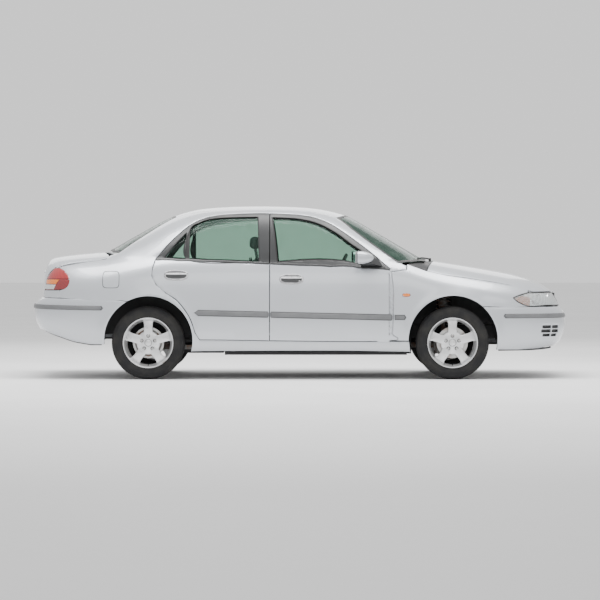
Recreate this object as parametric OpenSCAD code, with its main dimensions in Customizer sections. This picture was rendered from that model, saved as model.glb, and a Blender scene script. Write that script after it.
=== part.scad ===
// Four-door sedan car. Millimetres, +X forward, +Y left, +Z up, ground at z = 0.

/* [Overall size] */
// Overall length, bumper to bumper
body_length = 4460; // [3720:10:5350]
// Body width across the doors, without mirrors
body_width = 1700; // [1420:10:2040]
// Height of the roof above the ground
body_height = 1440; // [1300:10:1720]

/* [Wheels] */
// Tyre outer radius as it stands
tyre_radius = 302; // [262:1:312]
// Tyre width
tyre_width = 195; // [162:1:234]
// Rim flange radius
rim_radius = 206; // [180:1:215]
// Distance of each wheel's middle plane from the car's centre line
half_track = 732; // [722:1:742]
// Wheel spoke width at the rim
spoke_width = 72; // [60:1:88]
// Wheel arch opening radius
arch_radius = 366; // [350:1:372]
// Wheel stud circle diameter
stud_circle = 114.3; // [95:0.1:138]

/* [Panels] */
// Gap between a closed door, lid or hood and its neighbours
shut_gap = 6; // [5:0.5:7.5]
// Sheet panel depth with its inner frame
panel_depth = 24; // [20:1:29]
// Door depth from outer skin to inner trim
door_depth = 112; // [93:1:116]
// Window glass thickness
glass_thickness = 6; // [5:0.5:7.5]

/* [Inside] */
// Front seat cushion width
seat_width = 500; // [420:5:540]
// Distance of each front seat's middle from the centre line
seat_offset = 365; // [345:5:375]
// Steering wheel rim radius
steering_radius = 186; // [155:1:205]

/* [Hidden] */
kx = body_length/4460;
ky = body_width/1700;
kz = (body_height - 600)/840;
hub_z = tyre_radius;
axle_f = 1258;
axle_r = -1252;
track = half_track*ky;

function X(x) = x*kx;
function Y(y) = y*ky;
function Z(z) = z < 600 ? z : 600 + (z - 600)*kz;
function P(x, y, z) = [X(x), Y(y), Z(z)];

// smooth curve through a list of [position, value] pairs
function seg(l, x, i=0) = i >= len(l)-2 || x < l[i+1][0] ? i : seg(l, x, i+1);
function tang(l, k) = let(a = max(k-1, 0), b = min(k+1, len(l)-1))
  (l[b][1] - l[a][1])/(l[b][0] - l[a][0]);
function curve(l, x) = let(i = seg(l, x), p = l[i], q = l[i+1], h = q[0] - p[0],
  t = min(max((x - p[0])/h, 0), 1), m = tang(l, i)*h, n = tang(l, i+1)*h, a = t*t, b = a*t)
  (2*b - 3*a + 1)*p[1] + (b - 2*a + t)*m + (3*a - 2*b)*q[1] + (b - a)*n;

// body side bulge by height, nose and tail reach by height
flank = [[180,790],[240,815],[330,836],[450,847],[600,850],[720,846],[820,835],[900,817],[980,792],
  [1060,760]];
nose = [[180,2000],[240,2110],[300,2182],[360,2214],[430,2228],[500,2228],[545,2218],[580,2196],
  [620,2172],[680,2158],[760,2150],[900,2140]];
tail = [[240,1980],[300,2060],[360,2130],[420,2185],[480,2214],[550,2225],[610,2222],[645,2200],
  [680,2163],[740,2152],[850,2146],[930,2136],[1010,2126]];
// centre height of the hood, belt and trunk deck, and how square the shoulder is
deck = [[-2150,930],[-2110,985],[-2060,1007],[-1900,1030],[-1650,1052],[-1400,1062],[-600,1060],
  [400,1045],[850,1018],[1130,978],[1400,936],[1640,896],[1800,864],[1950,820],[2050,776],[2110,735],
  [2150,700]];
shoulder = [[-2200,4],[-1700,3.6],[-1350,5.5],[-1000,9],[600,9],[850,7],[1000,5],[1150,4],[1400,3.4],
  [1700,3],[2200,2.6]];
// centre height of windshield, roof and rear window
crown = [[-1770,880],[-1700,985],[-1610,1062],[-1535,1107],[-1433,1166],[-1331,1223],[-1228,1279],
  [-1126,1330],[-1023,1370],[-921,1399],[-819,1418],[-614,1434],[-400,1440],[-200,1439],[0,1432],
  [102,1423],[205,1408],[307,1385],[409,1352],[512,1297],[614,1238],[716,1179],[819,1119],[921,1060],
  [1023,1001],[1120,945],[1250,880]];
lean = [[860,806],[900,800],[960,786],[1100,740],[1200,698],[1300,650],[1400,600],[1450,572]];
taper = [[-1700,0.87],[-1200,0.955],[-700,0.99],[-200,1],[400,0.99],[760,0.967],[860,0.945],
  [960,0.89],[1060,0.8],[1160,0.7]];
edge_m = [[-1650,2.4],[-1300,2.7],[-1000,4.8],[-700,10],[-300,14],[0,14],[200,9],[400,4.8],[600,3],
  [800,2.4],[1100,2.2]];
edge_p = [[-1650,2.3],[-1000,2.5],[400,2.4],[1100,2.2]];

function plan(x, z, d) = let(n = x > 0 ? 5 : 6.5, a = curve(x > 0 ? nose : tail, z) - d)
  pow(1 - pow(min(abs(x)/a, 1), n), 1/n);
function lip(x, z, ax) = 12*exp(-pow(max(norm([x - ax, z - 323]) - 366, 0)/45, 2));
function low_w(x, z, d=0) = let(p = plan(x, z, d), m = curve(shoulder, x),
  t = min(max((z - 560)/(curve(deck, x) - d - 560), 0), 1))
  (curve(flank, z) - d + p*(lip(x, z, 1263) + lip(x, z, -1250)))*p*pow(1 - pow(t, m), 1/m);
function top_w(x, z, d=0) = let(h = curve(crown, x) - d, t = (z - 880)/max(h - 880, 1))
  t >= 1 || z < 880 ? 0 : (curve(lean, z) - d)*curve(taper, x)
    *pow(1 - pow(max(t, 0), curve(edge_m, x)), 1/curve(edge_p, x));
function soft_max(a, b, r) = max(a, b) + pow(max(r - abs(a - b), 0), 2)/(4*r);
function side_w(x, z, d=0) = soft_max(low_w(x, z, d), top_w(x, z, d), 14);
function peak(x, d=0) = max(curve(deck, x), curve(crown, x)) - d;

// closed slab between two grids of points
module grid_slab(a, b) {
  c = len(a[0]);
  r = len(a);
  n = r*c;
  top = [for (i = [0:r-2], j = [0:c-2])
    each [[i*c+j, (i+1)*c+j, (i+1)*c+j+1], [i*c+j, (i+1)*c+j+1, i*c+j+1]]];
  ring = concat([for (j = [0:c-2]) j], [for (i = [0:r-2]) i*c+c-1], [for (j = [c-1:-1:1]) (r-1)*c+j],
    [for (i = [r-1:-1:1]) i*c]);
  m = len(ring);
  wall = [for (k = [0:m-1]) let(p = ring[k], q = ring[(k+1)%m]) each [[p, q, n+q], [p, n+q, n+p]]];
  polyhedron(concat([for (q = a) each q], [for (q = b) each q]),
    concat(top, [for (t = top) [n+t[2], n+t[1], n+t[0]]], wall));
}
function steps(a, b, n) = [for (i = [0:n]) a + (b - a)*i/n];
// side slab of one depth measured straight in, flat inside where flat is given
module side_slab(xs, zs, d0, d1, flat=9999) grid_slab(
  [for (x = xs) [for (z = zs) P(x, side_w(x, z) - d0, z)]],
  [for (x = xs) [for (z = zs) P(x, min(side_w(x, z) - d1, z < 930 ? flat : 9999), z)]]);
// slab that keeps its depth around the corners: rows follow the section from low to the peak
function row_z(x, lo, v, d) = lo + (peak(x, d) - lo)*pow(sin(90*v), 0.6);
module wrap_slab(xs, lo, vs, d0, d1) grid_slab(
  [for (x = xs) let(u = x*(1 - d0/2150)) [for (v = vs) let(z = row_z(u, lo, v, d0))
    P(u, side_w(u, z, d0), z)]],
  [for (x = xs) let(u = x*(1 - d1/2150)) [for (v = vs) let(z = row_z(u, lo, v, d1))
    P(u, side_w(u, z, d1), z)]]);
// the same across the whole car, from the left side over the middle to the right
function over(r) = concat(r, [for (i = [len(r)-2:-1:0]) [r[i][0], -r[i][1], r[i][2]]]);
module full_slab(xs, lo, vs, d0, d1) grid_slab(
  [for (x = xs) let(u = x*(1 - d0/2150)) over([for (v = vs) let(z = row_z(u, lo, v, d0))
    P(u, v > 0.999 ? 0 : side_w(u, z, d0), z)])],
  [for (x = xs) let(u = x*(1 - d1/2150)) over([for (v = vs) let(z = row_z(u, lo, v, d1))
    P(u, v > 0.999 ? 0 : side_w(u, z, d1), z)])]);
// nose or tail slab: rows by height, columns swept round the plan curve
function end_pt(s, z, f, d) = let(n = s > 0 ? 5 : 6.5, a = curve(s > 0 ? nose : tail, z) - d,
  x = s*a*pow(sin(f), 2/n), w = low_w(x*0.99999, z, d))
  P(x, f > 89.9 ? 0 : w, z);
module end_slab(s, zs, fs, d0, d1) grid_slab(
  [for (z = zs) over([for (f = fs) end_pt(s, z, f, s > 0 ? d1 : d0)])],
  [for (z = zs) over([for (f = fs) end_pt(s, z, f, s > 0 ? d0 : d1)])]);
// point of the lower body met by a ray in the plane at side distance y
function ray_r(y, cx, cz, f, d, lo=0, hi=1300, k=0) = k > 17 ? lo : let(m = (lo + hi)/2,
  x = cx + m*cos(f), z = cz + m*sin(f), e = x > 0 ? 2230 : 2225)
  z < curve(deck, x) - d && abs(x) < e && low_w(x, z, d) > y ? ray_r(y, cx, cz, f, d, m, hi, k+1)
    : ray_r(y, cx, cz, f, d, lo, m, k+1);
function ray_pt(y, cx, cz, f, d) = let(r = ray_r(abs(y), cx, cz, f, d))
  P(cx + r*cos(f), y, cz + r*sin(f));
module ray_slab(ys, cx, cz, fs, d) grid_slab(
  [for (f = fs) [for (y = ys) ray_pt(y, cx, cz, f, 0)]],
  [for (f = fs) [for (y = ys) ray_pt(y, cx, cz, f, d)]]);

function S2(l) = [for (p = l) [X(p[0]), Z(p[1])]];
module side_cut(y0=0, y1=1100) translate([0, Y(y1), 0]) rotate([90, 0, 0])
  linear_extrude(Y(y1) - Y(y0)) children();
module across() translate([0, Y(1100), 0]) rotate([90, 0, 0]) linear_extrude(Y(2200)) children();
module plan_cut() translate([0, 0, 100]) linear_extrude(1700) children();
module right() mirror([0, 1, 0]) children();
module both() { children(); right() children(); }
module box(x0, x1, y0, y1, z0, z1) translate([X(x0), Y(y0), Z(z0)])
  cube([X(x1) - X(x0), Y(y1) - Y(y0), Z(z1) - Z(z0)]);
module cyl_y(x, z, r, y0, y1) translate([x, y0, z]) rotate([-90, 0, 0])
  cylinder(h=y1-y0, r=r, $fn=64);

// shared side outlines
front_line = [[-251,327],[-251,319],[732,317],[756,380],[765,451],[769,600],[769,739],[760,830],
  [747,908]];
frame_f = [[747,908],[700,950],[622,1018],[498,1117],[373,1208],[249,1287],[124,1337],[0,1359],
  [-166,1369],[-251,1372]];
frame_r = [[-251,1372],[-348,1374],[-581,1366],[-730,1349],[-830,1320],[-913,1275],[-996,1208],
  [-1095,1109],[-1195,989]];
rear_line = [[-1195,989],[-1213,928],[-1221,854],[-1184,780],[-1105,714],[-1008,648],[-910,517],
  [-862,385],[-826,327],[-251,321]];
module front_door_2d() polygon(S2(concat([[-251,321]], [for (i = [2:8]) front_line[i]], frame_f)));
module rear_door_2d() polygon(S2(concat(frame_r, rear_line)));
module front_glass_2d() polygon(S2([[-188,966],[545,932],[530,1035],[415,1125],[290,1217],[149,1289],
  [0,1325],[-120,1335],[-234,1339]]));
module rear_glass_2d() polygon(S2([[-336,966],[-915,982],[-915,1232],[-830,1298],[-730,1328],
  [-581,1339],[-348,1343]]));
module quarter_glass_2d() polygon(S2([[-940,984],[-1133,992],[-940,1210]]));
module arch_2d(x) translate([X(x), 323]) circle(x > 0 ? arch_radius : arch_radius - 4, $fn=60);
module shield_2d() polygon(S2([[822,961.5],[805,966],[680,1057],[548,1151],[425,1244],[303,1336],
  [395,1362],[420,1700],[1072,1700],[1072,974]]));
module backlight_2d() polygon(S2([[-1041,1341],[-1075,1352],[-1100,1700],[-1622,1700],
  [-1622,1051],[-1505,1044],[-1400,1121],[-1270,1207],[-1150,1283]]));
tail_lamp = [[-2200,924],[-2040,924],[-1985,908],[-1938,872],[-1916,821],[-1925,775],[-1955,745],
  [-1999,734],[-2200,734]];
head_lamp = [[1760,673],[1820,697],[1892,716],[2300,716],[2300,606],[2048,606],[1916,599],[1850,612],
  [1795,640]];
hood_side = [[1050,748],[1200,742],[1500,708],[1700,682],[1890,655],[1892,900],[2300,900]];
lid_2d = [[-1655,0],[-1648,200],[-1625,400],[-1588,545],[-1600,590],[-1650,600],[-2060,585],
  [-2100,570],[-2300,570]];
cowl_back = [[884.5,743],[915,650],[975,500],[1020,300],[1042,120]];
module hood_2d() polygon([for (p = concat(hood_side, [[2300,0],[2300,-900]],
  [for (i = [5:-1:0]) [hood_side[i][0], -hood_side[i][1]]],
  [[1085,-600],[1118,-400],[1142,-200],[1150,0],[1142,200],[1118,400],[1085,600]]))
  [X(p[0]), Y(p[1])]]);
module trunk_2d() polygon([for (p = concat(lid_2d, [for (i = [8:-1:1]) [lid_2d[i][0], -lid_2d[i][1]]]))
  [X(p[0]), Y(p[1])]]);
module whole(g) offset(delta=g) children();

module solid() resize([0, 0, 0]) children();

module door_body(front) {
  xs = front ? steps(-256, 776, 8) : steps(-1226, -244, 8);
  zs = [310, 400, 530, 660, 780, 880, 945, 985, 1080, 1180, 1270, 1335, 1380];
  solid() difference() {
    union() {
      intersection() {
        side_slab(xs, zs, 0, 22);
        side_cut() offset(delta=-shut_gap/2) { if (front) front_door_2d(); else rear_door_2d(); }
      }
      intersection() {
        side_slab(xs, zs, 20, 34);
        side_cut() offset(delta=-shut_gap/2-9) { if (front) front_door_2d(); else rear_door_2d(); }
      }
      intersection() {
        side_slab(xs, [for (z = zs) if (z < 960) z], 20, door_depth, 738);
        side_cut() intersection() {
          offset(delta=-shut_gap/2-28) { if (front) front_door_2d(); else rear_door_2d(); }
          polygon(S2(front ? [[-172,200],[900,200],[900,943],[-172,943]]
            : [[-1300,200],[-312,200],[-312,943],[-1300,943]]));
        }
      }
    }
    side_cut() { if (front) front_glass_2d(); else { rear_glass_2d(); quarter_glass_2d(); } }
  }
}
module door_glass(front) solid() intersection() {
  side_slab(front ? steps(-250, 560, 7) : steps(-1150, -320, 7), steps(925, 1350, 6), 8,
    8 + glass_thickness);
  side_cut() { if (front) whole(-0.3) front_glass_2d();
    else whole(-0.3) { rear_glass_2d(); quarter_glass_2d(); } }
}
// handle pad and rubbing strip on a door
module door_trim(front) solid() {
  hx = front ? -70 : -1020;
  hz = front ? 826 : 858;
  intersection() {
    side_slab(steps(hx - 110, hx + 110, 4), steps(hz - 50, hz + 50, 3), -14, -0.3);
    side_cut() translate([X(hx), Z(hz)]) intersection() {
      circle(102, $fn=30); square([204, 76], center=true); }
  }
  x0 = front ? -244 : -872;
  x1 = front ? 760 : -258;
  intersection() {
    side_slab(steps(x0, x1, 6), [480, 520, 550, 590], -13, -0.4);
    side_cut() polygon([for (p = [[x0,0],[x0+12,22],[x1-6,22],[x1,0],[x1-6,-26],[x0+6,-26]])
      [X(p[0]), 550 - (p[0] + 872)*0.0236 + p[1]]]);
  }
}
module front_door_left() color("silver") door_body(true);
module front_door_right() color("silver") right() door_body(true);
module rear_door_left() color("silver") door_body(false);
module rear_door_right() color("silver") right() door_body(false);
module front_glass_left() color("palegreen") door_glass(true);
module front_glass_right() color("palegreen") right() door_glass(true);
module rear_glass_left() color("palegreen") door_glass(false);
module rear_glass_right() color("palegreen") right() door_glass(false);
module front_trim_left() color("gray") door_trim(true);
module front_trim_right() color("gray") right() door_trim(true);
module rear_trim_left() color("gray") door_trim(false);
module rear_trim_right() color("gray") right() door_trim(false);
module mirror_pod() solid() union() {
  hull() {
    translate(P(578, 884, 998)) sphere(36, $fn=12);
    translate(P(484, 888, 1008)) sphere(66, $fn=12);
    translate(P(484, 952, 1014)) sphere(56, $fn=12);
    translate(P(570, 946, 1004)) sphere(30, $fn=12);
  }
  hull() {
    translate(P(560, 850, 960)) sphere(26, $fn=8);
    translate(P(600, side_w(600, 960) + 8, 952)) sphere(24, $fn=8);
    translate(P(520, side_w(520, 955) + 10, 950)) sphere(18, $fn=8);
  }
}
module mirror_left() color("silver") solid() difference() {
  mirror_pod();
  side_slab([389, 518, 647, 776], [880, 945, 985, 1080], -0.5, 200);
}
module mirror_right() color("silver") right() mirror_left();

module shell_2d() difference() {
  polygon(S2([[-930,229],[900,225],[900,314],[735,314],[735,882],[880,902],[880,940],[805,966],
    [680,1057],[548,1151],[425,1244],[303,1336],[210,1366],[100,1384],[-200,1400],[-500,1400],
    [-800,1388],[-940,1368],[-1041,1341],[-1150,1283],[-1270,1207],[-1400,1121],[-1505,1044],
    [-1625,1048],[-2300,1050],[-2300,678],[-2160,678],[-2073,674],[-1464,650],[-1409,640],
    [-1250,620],[-1000,400]]));
  whole(shut_gap/2) { front_door_2d(); rear_door_2d(); }
  polygon(S2(tail_lamp));
}
module side_shell() solid() difference() {
  union() {
    intersection() {
      wrap_slab([-2144,-2137,-2126,-2110,-2085,-2050,-2000,-1940,-1860,-1760,-1640,-1540,-1450,-1360,
        -1270,-1180,-1100,-1030,-960,-880,-780,-640,-480,-320,-160,0,120,220,300,370,440,510,580,650,
        720,790,850,895], 223, [0,0.008,0.03,0.08,0.15,0.22,0.3,0.4,0.5,0.58,0.66,0.74,0.8,0.85,0.9,
        0.94], 0, panel_depth);
      side_cut() shell_2d();
      difference() {
        translate([X(-2300), 0, 100]) cube([X(3500), Y(1000), 1600]);
        plan_cut() offset(delta=shut_gap) trunk_2d();
      }
    }
    // sill box, pillar and rail linings
    intersection() {
      side_slab(concat(steps(-950, 790, 8), [893]), [226, 270, 325], 9, 60, 735);
      side_cut() polygon(S2([[-940,231],[893,227],[893,312],[-940,319]]));
    }
    intersection() {
      wrap_slab(concat(steps(-1100, 300, 10), steps(370, 860, 7)), 700, steps(0.3, 0.9, 8), 9, 50);
      side_cut() offset(delta=-2) difference() {
        intersection() {
          shell_2d();
          polygon(S2([[-1090,1000],[-1090,1600],[900,1600],[900,880],[730,880],[300,1200],[0,1300],
            [-600,1300],[-960,1100]]));
        }
      }
    }
    intersection() {
      side_slab([-310, -255, -200], [305, 600, 800, 930, 1080, 1280, 1376], 41, 64, 735);
      side_cut() polygon(S2([[-300,316],[-210,316],[-222,960],[-232,1384],[-278,1384],[-290,960]]));
    }
    // stops that the closed doors rest on
    intersection() {
      side_slab([-310, -255, -200], [530, 600, 670], 35, 50);
      side_cut() polygon(S2([[-296,560],[-216,560],[-216,640],[-296,640]]));
    }
  }
  side_cut() { arch_2d(1263); arch_2d(-1250); }
}
module flap_2d(g=0) translate([X(-1559), Z(823)]) offset(r=20+g) square([100, 96], center=true);
module body_side_left() color("silver") side_shell();
module body_side_right() color("silver") solid() difference() {
  right() side_shell();
  intersection() {
    right() side_cut(700) flap_2d(shut_gap/2);
    right() side_slab(steps(-1650, -1470, 2), steps(730, 920, 2), -20, 8);
  }
}
module fuel_flap() color("silver") right() solid() intersection() {
  side_slab(steps(-1650, -1470, 2), steps(730, 920, 2), 0, 7.7);
  side_cut() flap_2d(-shut_gap/2);
}
module fender_shell() solid() difference() {
  intersection() {
    wrap_slab(concat(steps(735, 1935, 12), [1995, 2045, 2090]), 224,
      [0, 0.03, 0.1, 0.2, 0.3, 0.4, 0.5, 0.6, 0.7, 0.8, 0.9, 0.97], 0, panel_depth);
    side_cut() difference() {
      polygon(S2([[735,317],[900,316],[1000,500],[1263,640],[1470,600],[1916,600],[1990,715],
        [1990,900],[1400,1100],[880.5,1100],[880.5,901.6],[735,881.6]]));
      whole(shut_gap/2) front_door_2d();
      polygon(S2(head_lamp));
      arch_2d(1263);
    }
  }
  plan_cut() offset(delta=shut_gap) hood_2d();
  translate([X(600), -10, 100]) cube([X(1800), Y(560) + 10, 1600]);
  translate([X(600), -10, Z(860)]) cube([X(500), Y(748) + 10, 600]);
}
module fender_left() color("silver") fender_shell();
module fender_right() color("silver") right() fender_shell();

module roof() color("silver") solid() intersection() {
  full_slab(steps(-1110, 420, 14), 1000, [0.45, 0.6, 0.7, 0.78, 0.86, 0.93, 1], 0, 26);
  across() polygon(S2([[-1041,1341.6],[-940,1368.6],[-800,1388.6],[-500,1400.6],[-200,1400.6],
    [100,1384.6],[210,1366.6],[303,1336.6],[394,1361.5],[420,1500],[-1100,1500],[-1075,1352.5]]));
}
module windshield() color("palegreen") solid() intersection() {
  full_slab(steps(290, 1130, 8), 880, [0.1, 0.3, 0.5, 0.65, 0.8, 0.92, 1], 0, glass_thickness);
  across() offset(delta=-0.4) shield_2d();
}
module rear_window() color("palegreen") solid() intersection() {
  full_slab(steps(-1640, -1035, 6), 880, [0.1, 0.3, 0.5, 0.65, 0.8, 0.92, 1], 0, glass_thickness);
  across() offset(delta=-0.4) backlight_2d();
}
module hood() color("silver") solid() intersection() {
  ray_slab([for (i = [-6:6]) -i*127], 1000, 300, steps(86, 17, 15), panel_depth);
  plan_cut() hood_2d();
  across() polygon(S2([[890,600],[1600,664],[1760,692],[1820,706],[1885,721],[1893,721],[2300,721],[2300,1200],[890,1200]]));
}
module trunk_lid() color("silver") solid() intersection() {
  ray_slab([for (i = [-5:5]) i*121], -1560, 640, concat(steps(86, 126, 4), steps(132, 156, 6),
    steps(162, 180, 3)), panel_depth);
  plan_cut() trunk_2d();
  across() polygon(S2([[-1400,640],[-2060,688],[-2300,688],[-2300,1300],[-1400,1300]]));
}
// black panel between the hood's rear edge and the windshield's foot
module cowl() color("dimgray") solid() difference() {
  cowl_block();
  for (w = [[1105, -40], [1070, 540]]) translate(P(w[0], w[1], 900)) cylinder(h=120, r=9.4, $fn=24);
}
module cowl_block() intersection() {
  ray_slab([for (i = [-5:5]) -i*150], 700, 300, steps(88, 54, 7), 200);
  translate([0, 0, -13]) ray_slab([for (i = [-5:5]) -i*150], 700, 300, steps(88, 54, 7), 250);
  plan_cut() difference() {
    polygon([for (p = concat(cowl_back, [for (i = [4:-1:0]) [cowl_back[i][0], -cowl_back[i][1]]],
      [[1180,-743],[1180,743]])) [X(p[0]), Y(p[1])]]);
    offset(delta=shut_gap) hood_2d();
  }
  translate([0, -Y(900), Z(905.3)]) cube([X(1300), Y(1800), 300]);
}
module front_bumper() color("silver") solid() intersection() {
  end_slab(1, [232, 270, 320, 380, 450, 520, 560, 599.6],
    concat([14, 22], steps(30, 66, 6), [74, 82, 90]), 0, 30);
  across() difference() {
    polygon(S2([[1480,240],[2300,240],[2300,598.8],[1480,598.8]]));
    arch_2d(1263);
  }
}
module rear_bumper() color("silver") solid() intersection() {
  end_slab(-1, [262, 330, 400, 480, 550, 610, 645, 677],
    concat([16, 24], steps(32, 62, 5), [72, 81, 90]), 0, 30);
  across() difference() {
    polygon(S2([[-1400,286],[-1727,286],[-1875,311],[-1974,344],[-2073,377],[-2122,400],[-2300,410],
      [-2300,677],[-2160,677.6],[-2073,673.6],[-1464,649.6],[-1400,648]]));
    arch_2d(-1250);
  }
}
module head_lamp_cut() side_cut(330) offset(delta=-0.3) polygon(S2(head_lamp));
module headlights() color("lightgray") both() solid() intersection() {
  end_slab(1, [598, 640, 680, 718], concat(steps(26, 86, 8), [90]), 0, 48);
  head_lamp_cut();
}
module grille() color("black") solid() intersection() {
  end_slab(1, [600, 640, 680, 718], steps(50, 90, 5), 8, 30);
  side_cut(-329.7, 329.7) polygon(S2([[1900,602],[2300,602],[2300,714],[1900,714]]));
}
module tail_lights() color("red") both() solid() intersection() {
  end_slab(-1, steps(725, 935, 6), [20, 30, 38, 45, 52, 60, 70, 80, 90], 0, 44);
  side_cut(570) offset(delta=-0.3) polygon(S2(tail_lamp));
  plan_cut() difference() { translate([X(-2400), Y(0)]) square([X(600), Y(1000)]);
    offset(delta=shut_gap) trunk_2d(); }
}
// strips on fenders, bumpers and the side repeaters
module fender_trim() color("gray") both() {
  solid() intersection() {
    side_slab([735, 835, 935], [480, 510, 540], -13, -1);
    side_cut() polygon(S2([[778,536],[868,534],[876,512],[868,490],[778,488]]));
  }
  solid() intersection() {
    side_slab([840, 876, 912], [675, 700, 720], -4, 0);
    side_cut() translate([X(876), Z(697)]) intersection() { circle(31, $fn=32);
      square([70, 25], center=true); }
  }
}

module floor_pan() color("dimgray") union() {
  box(-600, 884, 126, 734.7, 200, 222);
  box(-600, 884, -734.7, -126, 200, 222);
  box(-600, 861.7, -152, 152, 300, 322);
  box(-600, 861.7, 126, 152, 200, 322);
  box(-600, 861.7, -152, -126, 200, 322);
  box(-622, -600, -734.7, 734.7, 200, 322);
  box(-880, -600, -734.7, 734.7, 300, 322);
  box(-1100, -880, -579.7, 579.7, 300, 322);
  box(-1122, -1100, -579.7, 579.7, 300, 422);
  box(-1640, -1100, -579.7, 579.7, 400, 422);
  box(-1990, -1640, -540, 540, 400, 422);
  box(-2090, -1990, -520, 520, 400, 422);
  box(-2112, -2090, -500, 500, 400, 640);
  box(-2132, -2090, -40, 40, 600, 687.5);
  box(-2146, -2090, -40, 40, 680, 687.5);
  for (s = [-1, 1]) {
    box(800, 930, min(s*390, s*449.7), max(s*390, s*449.7), 200, 222);
    box(884.3, 930, min(s*390, s*449.7), max(s*390, s*449.7), 200, 440);
    box(884.3, 2010, min(s*390, s*449.7), max(s*390, s*449.7), 330, 440);
  }
  box(2010, 2050, -500, 500, 260, 580);
}
module firewall() color("dimgray") union() {
  box(862, 884, 126, 734.7, 222.3, 880);
  box(862, 884, -734.7, -126, 222.3, 880);
  box(862, 884, -126, 126, 322.3, 905);
  box(862, 884, -600, 600, 850, 905);
  box(862, 1070, -600, 600, 885, 905);
  box(1060, 1175, -30, 30, 885, 905);
  box(1155, 1175, -30, 30, 890, 946.9);
}
module parcel_shelf() color("dimgray") union() {
  box(-1560, -1100, -590, 590, 965, 985);
  box(-1122, -1100, -579.7, 579.7, 422.3, 985);
  box(-1583, -1560, -520, 520, 965, 1005);
}
module liner(x, yi) union() {
  difference() {
    cyl_y(x, 323, arch_radius + 10, Y(yi), Y(770));
    cyl_y(x, 323, arch_radius + 4, Y(yi) - 5, Y(770) + 5);
    translate([x - 500, 0, -200]) cube([1000, Y(1000), 523]);
  }
  difference() {
    cyl_y(x, 323, arch_radius + 10, Y(yi), Y(yi) + 10);
    translate([x - 500, 0, -200]) cube([1000, Y(1000), 520 + (x > 0 ? 130 : 48)]);
  }
}
module arch_liners() color("black") both() { liner(X(1263), 450.3); liner(X(-1250), 580.3); }

module tyre_at(x) color("black") translate([X(x), track, hub_z]) rotate([90, 0, 0])
  rotate_extrude($fn=96) let(r = tyre_radius, f = rim_radius, h = tyre_width/2)
  polygon([[f+0.3,-h*0.74],[f+0.3,-h*0.9],[f+14,-h*0.96],[(r+f)/2,-h],[r-38,-h*0.95],[r-14,-h*0.84],
    [r-3,-h*0.66],[r,-h*0.4],[r,h*0.4],[r-3,h*0.66],[r-14,h*0.84],[r-38,h*0.95],[(r+f)/2,h],
    [f+14,h*0.96],[f+0.3,h*0.9],[f+0.3,h*0.74]]);
module rim_at(x) color("silver") translate([X(x), track, hub_z]) let(f = rim_radius,
  h = tyre_width/2) {
  difference() {
    union() {
      rotate([-90, 0, 0]) rotate_extrude($fn=96) polygon([[f,-h*0.9],[f,-h*0.84],[f-8,-h*0.8],
        [f-14,-h*0.5],[f-20,h*0.2],[f-14,h*0.7],[f-8,h*0.8],[f,h*0.84],[f,h*0.9],[f-10,h*0.9],
        [f-24,h*0.72],[f-30,h*0.63],[f-30,h*0.2],[f-24,-h*0.5],[f-18,-h*0.9]]);
      for (k = [0:4]) rotate([0, 72*k, 0]) translate([-spoke_width/2, h*0.32, 40])
        cube([spoke_width, 24, f - 67]);
      rotate([-90, 0, 0]) translate([0, 0, h*0.32 - 5]) cylinder(h=31, r=92, $fn=64);
      rotate([-90, 0, 0]) translate([0, 0, 10]) cylinder(h=h*0.32 - 12, r=74, $fn=64);
      rotate([-90, 0, 0]) translate([0, 0, 6]) cylinder(h=22, r=128, $fn=64);
    }
    for (k = [0:4]) rotate([0, 72*k, 0]) translate([0, h*0.32 + 18, stud_circle/2])
      rotate([-90, 0, 0]) cylinder(h=20, r=13, $fn=32);
  }
  for (k = [0:4]) rotate([0, 72*k, 0]) translate([0, h*0.32 + 18, stud_circle/2])
    rotate([-90, 0, 0]) cylinder(h=14, r=9.5, $fn=6);
}
module tyre_front_left() tyre_at(axle_f);
module tyre_front_right() right() tyre_at(axle_f);
module tyre_rear_left() tyre_at(axle_r);
module tyre_rear_right() right() tyre_at(axle_r);
module rim_front_left() rim_at(axle_f);
module rim_front_right() right() rim_at(axle_f);
module rim_rear_left() rim_at(axle_r);
module rim_rear_right() right() rim_at(axle_r);

module knuckle() translate([X(axle_f), track - 42, hub_z]) union() {
  translate([-20, -22, -93]) cube([40, 36, 186]);
  translate([0, 0, -110.7]) cylinder(h=20, r=18, $fn=32);
  translate([0, 0, 90.7]) cylinder(h=20, r=18, $fn=32);
  rotate([-90, 0, 0]) translate([0, 0, -30]) cylinder(h=77.5, r=46, $fn=48);
  translate([-108, -20, -52]) cube([100, 20, 24]);
}
module knuckle_left() color("gray") knuckle();
module knuckle_right() color("gray") right() knuckle();
module front_suspension() color("dimgray") let(ax = X(axle_f), ky_ = track - 42) union() {
  translate([ax - 80, -Y(449), hub_z - 122]) cube([160, 2*Y(449), 90]);
  both() {
    translate([ax - 30, Y(440), hub_z - 137]) cube([60, ky_ - Y(440), 26]);
    translate([ax - 90, Y(440), hub_z - 137]) cube([120, Y(545) - Y(440), 26]);
    translate([ax, ky_, hub_z - 137]) cylinder(h=26, r=28, $fn=32);
    translate([ax - 60, Y(512), hub_z - 112]) cylinder(h=478, r=22, $fn=32);
    translate([ax - 60, Y(512), hub_z + 160]) cylinder(h=190, r=42, $fn=32);
    translate([ax - 18, Y(450.3), hub_z + 111]) cube([36, ky_ - Y(450.3), 24]);
    translate([ax, ky_, hub_z + 111]) cylinder(h=24, r=25, $fn=32);
    translate([ax - 60, Y(395), 269]) cube([120, Y(50), 60.7]);
  }
}
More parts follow.
